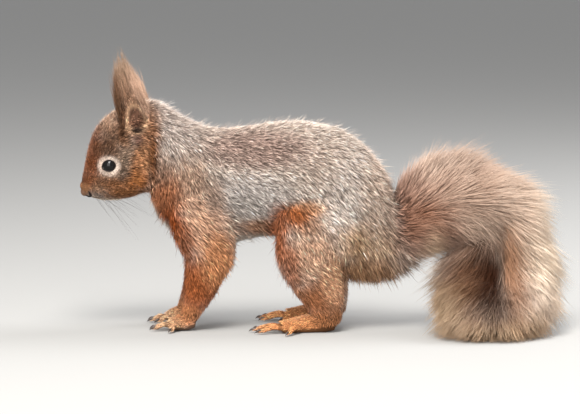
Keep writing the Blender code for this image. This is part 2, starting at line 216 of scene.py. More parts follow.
def roundTurn(count):
    # angles once round, for the points of a ring
    return (np.arange(count) / count * turn)[None, :, None]


def poleToPole(rows, gap):
    # angles from one pole of a ball to the other, for its rings
    return np.linspace(gap, math.pi - gap, rows)[:, None, None]


def signedVolume(points, triangles):
    a, b, c = (points[triangles[:, k]] for k in range(3))
    return float(np.einsum("ij,ij->i", a, np.cross(b, c)).sum())


# the animal's form: lofts whose sections are ellipses
bodyForm = {
    # dorsal outline (x, z), ventral outline (x, z), half width, how much wider the lower half is;
    # from the nose to where the tail comes down
    "sections": [
        ((-0.1512, 0.0905), (-0.1490, 0.0862), 0.0026, 0.0),
        ((-0.1508, 0.0955), (-0.1466, 0.0824), 0.0053, 0.0),
        ((-0.1496, 0.1008), (-0.1375, 0.0802), 0.0088, 0.10),
        ((-0.1470, 0.1120), (-0.1285, 0.0806), 0.0124, 0.12),
        ((-0.1438, 0.1214), (-0.1199, 0.0823), 0.0154, 0.12),
        ((-0.1392, 0.1286), (-0.1123, 0.0850), 0.0174, 0.12),
        ((-0.1318, 0.1350), (-0.1065, 0.0850), 0.0180, 0.10),
        ((-0.1180, 0.1420), (-0.1058, 0.0810), 0.0178, 0.08),
        ((-0.1033, 0.1424), (-0.1030, 0.0745), 0.0188, 0.05),
        ((-0.0863, 0.1332), (-0.0970, 0.0640), 0.0230, 0.05),
        ((-0.0674, 0.1274), (-0.0760, 0.0480), 0.0262, 0.05),
        ((-0.0485, 0.1282), (-0.0500, 0.0540), 0.0268, 0.05),
        ((-0.0296, 0.1310), (-0.0320, 0.0565), 0.0282, 0.08),
        ((-0.0101, 0.1314), (-0.0126, 0.0540), 0.0300, 0.08),
        ((0.0107, 0.1268), (0.0019, 0.0440), 0.0300, 0.08),
        ((0.0264, 0.1164), (0.0132, 0.0320), 0.0275, 0.05),
        ((0.0378, 0.1008), (0.0315, 0.0306), 0.0225, 0.0),
        ((0.0436, 0.0880), (0.0470, 0.0355), 0.0205, 0.0),
        ((0.0560, 0.1020), (0.0602, 0.0410), 0.0255, 0.0),
        ((0.0714, 0.1138), (0.0712, 0.0430), 0.0300, 0.0),
        ((0.0900, 0.1164), (0.0795, 0.0440), 0.0325, 0.0),
        ((0.1153, 0.1070), (0.0830, 0.0460), 0.0335, 0.0),
        ((0.1373, 0.0899), (0.0820, 0.0470), 0.0335, 0.0),
    ],
    # right and left end (x, y, z) of each section, half thickness; the tail's end, laid to the left
    "tailEnd": [
        ((0.1480, -0.0030, 0.0620), (0.0765, -0.0030, 0.0440), 0.0310),
        ((0.1526, -0.0090, 0.0430), (0.0735, -0.0090, 0.0370), 0.0280),
        ((0.1520, -0.0180, 0.0312), (0.0724, -0.0180, 0.0288), 0.0250),
        ((0.1500, -0.0290, 0.0236), (0.0714, -0.0290, 0.0224), 0.0220),
        ((0.1462, -0.0400, 0.0188), (0.0712, -0.0400, 0.0182), 0.0190),
        ((0.1405, -0.0510, 0.0147), (0.0725, -0.0510, 0.0143), 0.0160),
        ((0.1325, -0.0620, 0.0115), (0.0760, -0.0620, 0.0115), 0.0128),
        ((0.1215, -0.0735, 0.0086), (0.0825, -0.0735, 0.0086), 0.0090),
        ((0.1080, -0.0840, 0.0052), (0.0925, -0.0840, 0.0052), 0.0048),
    ],
    # the tail's hair parts along its bone: how wide the parting is, how far the hair turns from the bone line
    # to the edges, how flat it lies there, the station where the tail starts, the stations between which the
    # skin rounds off so that the last of the tail is all hair, and how far that hair fans out and hangs
    "tailHair": {
        "parting": 0.30, "spread": 0.62, "flat": 0.42, "from": 17.5, "closeFrom": 25.6, "closeAt": 29.2,
        "fan": 0.35, "droop": 0.75,
    },
    # on the inner side of the tail's bends the coat is this share less deep, from a station on, over so many
    "innerSide": {"thinner": 0.30, "from": 17, "over": 3},
    "crownLift": 0.50,  # how much more the hair stands on the forehead and the crown
    # longer hair that hangs from the rump: middle station, reach, how far it turns down and is lifted
    "fringe": {"at": 16.2, "reach": 1.5, "hang": 0.9, "lift": 24.0, "longer": 0.28},
    "crease": {"at": [0, 20.8, 22, 24, 25.5, 27, 31], "depth": [0, 0, 6, 9, 8, 0, 0], "half": 0.30},
    # what the coat does along the body, by section number: depth of the coat over the skin, length and
    # width of a tuft in millimetres, tufts to the square millimetre, angle to the skin at root and tip,
    # and how far the hair turns down the flank
    "coat": {
        "at": [0, 1, 2, 4, 6, 7, 8, 9, 10, 12, 14, 16, 17, 18, 19, 20, 22, 24, 26, 28, 30, 31],
        "depth": [0.3, 0.4, 0.5, 0.8, 1.2, 1.6, 2.2, 2.8, 3.0, 3.0, 3.2, 3.8, 5.5, 10, 14, 16, 16, 15, 12,
                  8, 5, 3],
        "length": [0.9, 1.2, 1.8, 2.8, 3.8, 4.6, 6.2, 6.8, 6.4, 6.0, 6.3, 7.8, 11, 17, 21.5, 25, 27, 26,
                   24.5, 21, 17.5, 14],
        "width": [.20, .20, .24, .28, .30, .32, .36, .40, .40, .40, .40, .42, .42, .38, .36, .36, .36, .36,
                  .36, .36, .36, .34],
        "count": [6, 6, 5.5, 4.6, 3.8, 3.1, 2.4, 1.95, 1.75, 1.70, 1.70, 1.75, 1.8, 1.8, 1.8, 1.75, 1.75,
                  1.75, 1.95, 2.1, 2.4, 2.6],
        "rootAngle": [16, 16, 24, 36, 40, 44, 48, 43, 36, 34, 36, 44, 44, 36, 31, 31, 36, 42, 40, 28, 16, 10],
        "tipAngle": [4, 4, 8, 18, 20, 24, 30, 24, 14, 12, 14, 24, 24, 12, 8, 8, 14, 20, 18, 8, 0, 0],
        "slope": [0, 0, 4, 8, 12, 16, 26, 38, 42, 28, 24, 36, 30, 10, 0, 0, 0, 0, 0, 0, 0, 0],
    },
}
limbForm = {
    # centre (x, y, z), half depth fore and aft, half width
    "foreleg": [
        ((-0.0800, 0.0150, 0.0860), 0.0190, 0.0110),
        ((-0.0755, 0.0185, 0.0660), 0.0205, 0.0125),
        ((-0.0705, 0.0200, 0.0500), 0.0175, 0.0112),
        ((-0.0728, 0.0200, 0.0370), 0.0132, 0.0092),
        ((-0.0764, 0.0195, 0.0245), 0.0098, 0.0074),
        ((-0.0810, 0.0188, 0.0140), 0.0072, 0.0060),
        ((-0.0845, 0.0182, 0.0060), 0.0058, 0.0052),
    ],
    "hindleg": [
        ((0.0020, 0.0180, 0.0820), 0.0230, 0.0120),
        ((-0.0030, 0.0220, 0.0640), 0.0290, 0.0155),
        ((-0.0080, 0.0245, 0.0480), 0.0225, 0.0150),
        ((-0.0045, 0.0250, 0.0350), 0.0180, 0.0128),
        ((0.0005, 0.0245, 0.0220), 0.0140, 0.0100),
        ((0.0030, 0.0240, 0.0110), 0.0105, 0.0080),
        ((0.0030, 0.0240, 0.0050), 0.0080, 0.0070),
    ],
    "coat": {
        "at": [0, 1, 2, 3, 4, 5, 6],
        "depth": [4.0, 3.6, 3.0, 2.2, 1.5, 0.9, 0.6],
        "length": [8.5, 8.0, 7.0, 5.5, 4.2, 3.0, 2.4],
        "width": [.56, .54, .50, .46, .40, .34, .31],
        "count": [1.05, 1.15, 1.25, 1.40, 1.65, 2.0, 2.3],
        "rootAngle": [30, 30, 30, 28, 26, 22, 20],
        "tipAngle": [12, 12, 12, 12, 10, 8, 6],
        "slope": 0,
    },
    # how far the hair turns to the rear, station by station
    "sweepBack": [0.75, 0.65, 0.60, 0.60, 0.55, 0.35, 0.1],
}
pawForm = {
    "hand": [
        ((-0.0790, 0.0180, 0.0055), 0.0042, 0.0040),
        ((-0.0840, 0.0182, 0.0060), 0.0062, 0.0052),
        ((-0.0900, 0.0185, 0.0048), 0.0052, 0.0060),
        ((-0.0950, 0.0188, 0.0034), 0.0038, 0.0062),
    ],
    "foot": [
        ((0.0085, 0.0235, 0.0050), 0.0048, 0.0044),
        ((0.0020, 0.0240, 0.0062), 0.0070, 0.0062),
        ((-0.0080, 0.0255, 0.0056), 0.0062, 0.0062),
        ((-0.0180, 0.0272, 0.0044), 0.0050, 0.0070),
        ((-0.0250, 0.0285, 0.0036), 0.0040, 0.0074),
    ],
    # where a digit leaves the paw (x, y), its length, its direction from straight ahead in degrees
    "fingers": [
        ((-0.0925, 0.0140), 0.0085, -22.0),
        ((-0.0945, 0.0170), 0.0105, -6.0),
        ((-0.0945, 0.0205), 0.0105, 12.0),
        ((-0.0900, 0.0235), 0.0090, 62.0),
    ],
    "toes": [
        ((-0.0190, 0.0218), 0.0115, -34.0),
        ((-0.0245, 0.0238), 0.0165, -12.0),
        ((-0.0255, 0.0282), 0.0170, 2.0),
        ((-0.0245, 0.0325), 0.0150, 16.0),
        ((-0.0150, 0.0335), 0.0135, 62.0),
    ],
    "digitRadius": 0.0018, "digitHeight": 0.0032,
    "coat": {
        "at": [0, 1, 2, 3, 4],
        "depth": [0.5, 0.5, 0.4, 0.35, 0.3],
        "length": [2.8, 2.6, 2.4, 2.2, 1.9],
        "width": [.30, .30, .28, .28, .26],
        "count": [3.2, 3.2, 3.3, 3.4, 3.4],
        "rootAngle": [18, 18, 16, 16, 16],
        "tipAngle": [4, 4, 2, 2, 2],
        "slope": 0,
    },
}
earForm = {
    "stations": [
        ((-0.1145, 0.0120, 0.1180), 0.0080, 0.0046),
        ((-0.1155, 0.0133, 0.1260), 0.0100, 0.0048),
        ((-0.1165, 0.0142, 0.1340), 0.0102, 0.0042),
        ((-0.1185, 0.0148, 0.1415), 0.0080, 0.0032),
        ((-0.1205, 0.0150, 0.1480), 0.0038, 0.0018),
    ],
    "bowl": [0.0030, 0.0052, 0.0052, 0.0034, 0.0008],  # how far the outer face is scooped in
    "coat": {
        "at": [0, 1, 2, 3, 4],
        "depth": [0.8, 0.8, 0.8, 0.6, 0.4],
        "length": [3.5, 3.2, 3.0, 3.0, 3.0],
        "width": [.34, .32, .30, .30, .30],
        "count": 3.0,
        "rootAngle": 20,
        "tipAngle": 6,
        "slope": 0,
    },
}
snoutForm = {  # the furred end of the muzzle, from its tip back: centre, half depth, half width
    "stations": [
        ((-0.1519, 0, 0.0880), 0.0012, 0.0012),
        ((-0.1511, 0, 0.0883), 0.0030, 0.0029),
        ((-0.1490, 0, 0.0888), 0.0048, 0.0042),
        ((-0.1450, 0, 0.0895), 0.0064, 0.0053),
        ((-0.1400, 0, 0.0905), 0.0080, 0.0064),
    ],
    "coat": {
        "at": [0, 1, 2, 3, 4],
        "depth": [0.2, 0.3, 0.3, 0.4, 0.5],
        "length": [0.8, 1.0, 1.2, 1.4, 1.6],
        "width": [.20, .20, .20, .22, .24],
        "count": [10, 10, 9, 8, 7],
        "rootAngle": 16,
        "tipAngle": 4,
        "slope": 0,
    },
}
loftForm = {
    "steps": 240,  # sections worked out along a limb, three times as many along the body
    # least share of a half axis that is left under the coat, least thickness where the skin closes, how
    # sharply the ear's hollow sets in, and how far off the points lie that give a slope
    "least": 0.12, "closed": 0.0005, "hollowed": 1.5, "probe": 0.02,
}


def closeLoft(
        name, centre, up, side, along, u, coat, flare=None, dent=None, dentSide=1, sweep=None, crease=None):
    # one table of a loft's sections, with what the coat does there; one number stands for all stations
    at = coat["at"]
    values = {key: np.interp(u, at, np.broadcast_to(coat[key], len(at))) for key in coat if key != "at"}
    zero = np.zeros((len(u), 1))
    packed = np.concatenate([
        centre, up, side,
        zero if flare is None else flare.reshape(-1, 1),
        np.zeros((len(u), 3)) if dent is None else dent,
        zero if crease is None else crease.reshape(-1, 1),
    ], axis=1)
    return {
        "name": name, "packed": packed, "last": u[-1], "coat": values, "along": along, "dentSide": dentSide,
        "sweep": np.zeros(len(u)) if sweep is None else sweep,
    }


def bodyLoft():
    # tops and bottoms are the outline's two lines; a section's centre lies between them, its up axis joins
    # them, and its side axis is square to both the way along and up
    tops = [(x, 0, z) for (x, z), _, _, _ in bodyForm["sections"]] + [t for t, _, _ in bodyForm["tailEnd"]]
    bottoms = [(x, 0, z) for _, (x, z), _, _ in bodyForm["sections"]] + [b for _, b, _ in bodyForm["tailEnd"]]
    widths = [s[2] for s in bodyForm["sections"]] + [s[2] for s in bodyForm["tailEnd"]]
    flares = [s[3] for s in bodyForm["sections"]] + [0.0] * len(bodyForm["tailEnd"])
    u = np.linspace(0, len(tops) - 1, 3 * loftForm["steps"])
    top, bottom = throughStations(tops, u), throughStations(bottoms, u)
    centre = (top + bottom) / 2
    along = unit(np.gradient(centre, axis=0))
    up = (top - bottom) / 2
    side = unit(np.cross(along, up)) * throughStations(widths, u)[:, None]
    crease = np.interp(u, bodyForm["crease"]["at"], bodyForm["crease"]["depth"]) * mm
    return closeLoft(
        "body", centre, up, side, along, u, bodyForm["coat"], flare=throughStations(flares, u), crease=crease)


def limbLoft(name, stations, coat, side, step=0.0, sweep=None, bowl=None):
    # a tube through its stations: the side axis is across the animal, the up axis square to it and to the
    # way along
    centres = [(x + step, y * side, z) for (x, y, z), _, _ in stations]
    u = np.linspace(0, len(stations) - 1, loftForm["steps"])
    centre = throughStations(centres, u)
    along = unit(np.gradient(centre, axis=0))
    across = np.array([0.0, 1.0, 0.0]) - along * along[:, 1:2]
    across = unit(across)
    up = np.cross(across, along) * throughStations([s[1] for s in stations], u)[:, None]
    wide = across * throughStations([s[2] for s in stations], u)[:, None]
    dent = None
    if bowl is not None:
        dent = np.zeros((len(u), 3))
        dent[:, 1] = -side * throughStations(bowl, u)
    if sweep is not None:
        sweep = np.interp(u, np.arange(len(sweep)), sweep)
    return closeLoft(name, centre, up, wide, along, u, coat, dent=dent, dentSide=side, sweep=sweep)


def readRow(table, loft, u):
    # a table given at the loft's even steps, read between them in a straight line
    place = np.clip(u / loft["last"], 0, 1) * (len(table) - 1)
    i = np.minimum(place.astype(int), len(table) - 2)
    t = place - i
    if table.ndim == 2:
        t = t[:, None]
    return table[i] * (1 - t) + table[i + 1] * t


def surfacePoint(loft, u, theta, inset):
    # centre + up cos(theta) + side sin(theta) (1 - flare cos(theta)), both half axes shortened by inset,
    # plus the dent on the side that has one, less the furrow along the tail's bone
    row = readRow(loft["packed"], loft, u)
    centre, up, side, flare, dent, crease = np.split(row, [3, 6, 9, 10, 13], axis=1)
    c, s = np.cos(theta)[:, None], np.sin(theta)[:, None]
    inset = np.broadcast_to(inset, u.shape)[:, None]
    upLong = np.linalg.norm(up, axis=1, keepdims=True)
    sideLong = np.linalg.norm(side, axis=1, keepdims=True)
    begin, end = bodyForm["tailHair"]["closeFrom"], bodyForm["tailHair"]["closeAt"]
    close = np.clip((u - begin) / (end - begin), 0, 1) if loft["name"] == "body" else np.zeros(len(u))
    close = np.sqrt(np.maximum(1 - close ** 2, loftForm["closed"]))[:, None]
    up = up * np.maximum(1 - inset / upLong, loftForm["least"]) * close
    side = side * np.maximum(1 - inset / sideLong, loftForm["least"]) * close
    bowl = np.clip(s * loft["dentSide"], 0, 1) ** loftForm["hollowed"]
    furrow = crease * np.exp(-(c / bodyForm["crease"]["half"]) ** 2) * (s > 0) / sideLong
    return mould(centre + up * c + side * s * (1 - flare * c - furrow) + dent * bowl)


# small forms of the face: middle, reach and push, each mirrored to the other side
faceForms = {
    "brow": ((-0.1365, 0.0140, 0.1112), (0.0065, 0.006, 0.0030), (0, 0.0010, 0.0004)),
    "corner": ((-0.1412, 0.0120, 0.1005), (0.0032, 0.006, 0.0028), (0, -0.0009, 0)),
    "underEye": ((-0.1320, 0.0150, 0.0952), (0.0060, 0.006, 0.0030), (0, -0.0005, 0)),
    "cheek": ((-0.1190, 0.0165, 0.0920), (0.0090, 0.008, 0.0075), (0, 0.0014, -0.0002)),
    "whiskerPad": ((-0.1420, 0.0080, 0.0868), (0.0048, 0.005, 0.0036), (-0.0002, 0.0012, 0)),
    "lipFold": ((-0.1440, 0.0070, 0.0818), (0.0060, 0.005, 0.0011), (0.0003, -0.0009, 0.0003)),
    "lipFoldRear": ((-0.1370, 0.0098, 0.0832), (0.0045, 0.005, 0.0011), (0.0, -0.0008, 0.0)),
    "bridge": ((-0.1480, 0.0040, 0.1020), (0.0050, 0.003, 0.0070), (0.0, -0.0005, 0.0)),
    "crown": ((-0.1300, 0.0060, 0.1330), (0.0080, 0.008, 0.0060), (0.0, 0.0, 0.0004)),
}


def mould(points):
    # each form pushes what lies near it, fading as exp(-(distance / reach)^2)
    if points[:, 0].min() > -0.09:
        return points
    moved, near = points.copy(), mirrored(points)
    sign = np.sign(points[:, 1:2])
    for middle, reach, push in faceForms.values():
        fade = np.exp(-(((near - middle) / reach) ** 2).sum(1))[:, None]
        shove = np.array(push) * fade
        shove[:, 1:2] *= sign
        moved += shove
    return moved


def surfaceFrame(loft, u, theta, inset):
    # the point, the unit vectors along and around, and the outward normal, by small differences
    h = loftForm["probe"]
    point = surfacePoint(loft, u, theta, inset)
    ahead = surfacePoint(loft, np.clip(u + h, 0, loft["last"]), theta, inset)
    behind = surfacePoint(loft, np.clip(u - h, 0, loft["last"]), theta, inset)
    along = unit(ahead - behind)
    around = unit(surfacePoint(loft, u, theta + h, inset) - surfacePoint(loft, u, theta - h, inset))
    normal = unit(np.cross(along, around))
    centre = readRow(loft["packed"], loft, u)[:, :3]
    outward = np.sign(np.einsum("ij,ij->i", normal, point - centre))
    bowl = (np.sin(theta) * loft["dentSide"] > 0.2) & (loft["packed"][0, 10:13] != 0).any()
    outward = np.where(bowl, np.sign(normal[:, 1] * loft["dentSide"]), outward)
    return point, along, around, normal * np.where(outward == 0, 1, outward)[:, None]


# finding what lies inside a loft: every how many sections are looked at, how many points at a time, how much
# more the way off a section's plane counts, how near the plane is near, how deep inside is inside, and how
# far round a loft its points may lie
overlap = {"every": 4, "block": 20000, "offPlane": 8, "plane": 2.5 * mm, "margin": 0.4 * mm, "reach": 0.035}


def insideLoft(points, loft):
    # nearest section's plane: inside where the point's share of both half axes, squared, sums to under 1
    every, size, margin = overlap["every"], overlap["block"], overlap["margin"]
    packed = loft["packed"][::every]
    along = loft["along"][::every]
    inset = loft["coat"]["depth"][::every] * mm
    inside = np.zeros(len(points), bool)
    for start in range(0, len(points), size):
        block = points[start:start + size]
        gap = block[:, None, :] - packed[None, :, :3]
        way = np.abs(np.einsum("ijk,jk->ij", gap, along))
        distance = (gap ** 2).sum(2) + overlap["offPlane"] * way ** 2
        k = distance.argmin(1)
        rel = gap[np.arange(len(block)), k]
        up, side = packed[k, 3:6], packed[k, 6:9]
        upLong, sideLong = np.linalg.norm(up, axis=1), np.linalg.norm(side, axis=1)
        a = np.einsum("ij,ij->i", rel, up) / upLong / np.maximum(upLong - inset[k] - margin, 1e-4)
        b = np.einsum("ij,ij->i", rel, side) / sideLong / np.maximum(sideLong - inset[k] - margin, 1e-4)
        onPlane = way[np.arange(len(block)), k] < overlap["plane"]
        inside[start:start + size] = (a * a + b * b < 1) & onPlane
    return inside


def digitStations(base, length, heading):
    # leaves the paw, arches over its knuckle and comes down on its pad
    angle = math.radians(heading)
    ahead = np.array([-math.cos(angle), math.sin(angle), 0])
    start = np.array([base[0], base[1], pawForm["digitHeight"]])
    drop = pawForm["digitHeight"]
    path = [
        start - ahead * 0.0035, start, start + ahead * length * 0.45 + (0, 0, 0.0006),
        start + ahead * length * 0.8 + (0, 0, 0.0024 - drop), start + ahead * length + (0, 0, 0.0016 - drop),
    ]
    sizes = [1.0, 1.1, 1.0, 0.92, 0.6]
    radius = pawForm["digitRadius"]
    return [(tuple(p), radius * s, radius * s) for p, s in zip(path, sizes)], path[-1], ahead


def allLofts():
    lofts = {"body": bodyLoft(), "snout": limbLoft("snout", snoutForm["stations"], snoutForm["coat"], 1)}
    clawRoots = []
    for word, side in sides.items():
        fore, hind = legStep["fore"][word], legStep["hind"][word]
        cap = word.capitalize()
        lofts["foreleg" + cap] = limbLoft(
            "foreleg", limbForm["foreleg"], limbForm["coat"], side, fore, limbForm["sweepBack"])
        lofts["hindleg" + cap] = limbLoft(
            "hindleg", limbForm["hindleg"], limbForm["coat"], side, hind, limbForm["sweepBack"])
        for paw, digits, step, claw in (("hand", "fingers", fore, "hand"), ("foot", "toes", hind, "foot")):
            lofts[paw + cap] = limbLoft(paw, pawForm[paw], pawForm["coat"], side, step)
            for number, (base, length, heading) in enumerate(pawForm[digits], start=1):
                stations, tip, ahead = digitStations(base, length, heading)
                lofts[f"{paw}{cap}Digit{number}"] = limbLoft("digit", stations, pawForm["coat"], side, step)
                tip, ahead = tip * (1, side, 1) + (step, 0, 0), ahead * (1, side, 1)
                clawRoots.append((f"{claw}_claw_{word}_{number}", tip, ahead))
        lofts["ear" + cap] = limbLoft(
            "ear", earForm["stations"], earForm["coat"], side, bowl=earForm["bowl"])
    return lofts, clawRoots


# markings: one colour function for skin and coat
# a few tones stand in for light: painted shade in and beside the tail's furrow, in the ear's notch and along
# its front edge, and partly painted rim light on the tail's rear edge
tones = {  # linear colours of the hair
    "grizzle": (0.655, 0.535, 0.450), "paleFawn": (0.625, 0.512, 0.445), "pinkBrown": (0.385, 0.258, 0.212),
    "greyFlank": (0.595, 0.532, 0.490), "peach": (0.640, 0.370, 0.235), "orange": (0.380, 0.105, 0.024),
    "rust": (0.260, 0.055, 0.008), "throatRust": (0.460, 0.180, 0.085), "thighRust": (0.340, 0.115, 0.050),
    "shankBrown": (0.400, 0.165, 0.075), "cheekRust": (0.330, 0.125, 0.045),
    "napeBrown": (0.340, 0.205, 0.140), "shoulderFawn": (0.530, 0.320, 0.212),
    "rumpPale": (0.770, 0.650, 0.570), "flankShade": (0.480, 0.430, 0.385),
    "crownLight": (0.600, 0.385, 0.270), "russet": (0.400, 0.120, 0.040),
    "footOrange": (0.920, 0.360, 0.125), "handPeach": (0.840, 0.480, 0.270),
    "crownBrown": (0.200, 0.105, 0.060), "browRust": (0.185, 0.050, 0.011),
    "cheekGrey": (0.200, 0.128, 0.083), "cheekOrange": (0.310, 0.120, 0.040),
    "muzzle": (0.120, 0.030, 0.004), "jawOrange": (0.440, 0.170, 0.055),
    "whiskerPad": (0.250, 0.135, 0.075), "cream": (0.800, 0.630, 0.470), "white": (0.860, 0.780, 0.680),
    "rumpBrown": (0.620, 0.365, 0.190), "underRump": (0.430, 0.215, 0.098),
    "tailRoot": (0.285, 0.185, 0.145), "tailLeft": (0.700, 0.530, 0.360), "tailMid": (0.260, 0.110, 0.060),
    "tailFawn": (0.425, 0.290, 0.217), "tailRimPaleAndLit": (0.900, 0.745, 0.585), "tailRust": (0.335, 0.152, 0.070),
    "tailCream": (0.600, 0.400, 0.240), "tailShadeBrown": (0.130, 0.047, 0.015),
    "tailTop": (0.310, 0.222, 0.172), "tailShade": (0.034, 0.010, 0.003),
    "behindEar": (0.300, 0.145, 0.075), "browDark": (0.110, 0.048, 0.022),
    "jawBrown": (0.260, 0.105, 0.036), "earInner": (0.145, 0.070, 0.043), "earHair": (0.280, 0.155, 0.095),
    "earRim": (0.620, 0.380, 0.230), "earFrontShade": (0.060, 0.022, 0.008), "earNotchShade": (0.020, 0.012, 0.010),
    "neckShade": (0.280, 0.175, 0.120), "tailTip": (0.740, 0.580, 0.450),
    "mouthLine": (0.060, 0.030, 0.020), "ringCream": (0.790, 0.635, 0.535),
    "heelRust": (0.360, 0.145, 0.058), "wristOrange": (0.560, 0.225, 0.090),
    "bellyTan": (0.420, 0.215, 0.120), "bellyFawn": (0.660, 0.480, 0.380),
    "limbPeach": (0.660, 0.380, 0.245), "noseTip": (0.420, 0.200, 0.095), "rumpEdge": (0.660, 0.490, 0.385),
    "elbowGold": (0.700, 0.310, 0.140), "shankFawn": (0.780, 0.430, 0.255),
    "shoulderShade": (0.400, 0.265, 0.195), "backFawn": (0.550, 0.420, 0.340),
    "tailGold": (0.440, 0.290, 0.150), "underEye": (0.155, 0.060, 0.020), "browGrey": (0.125, 0.072, 0.046),
    "templeBrown": (0.155, 0.075, 0.038), "cheekGold": (0.460, 0.225, 0.110),
    "napeRust": (0.185, 0.068, 0.022), "earBelow": (0.125, 0.070, 0.056),
    "thighGold": (0.540, 0.270, 0.135), "tailPale": (0.580, 0.435, 0.340),
}
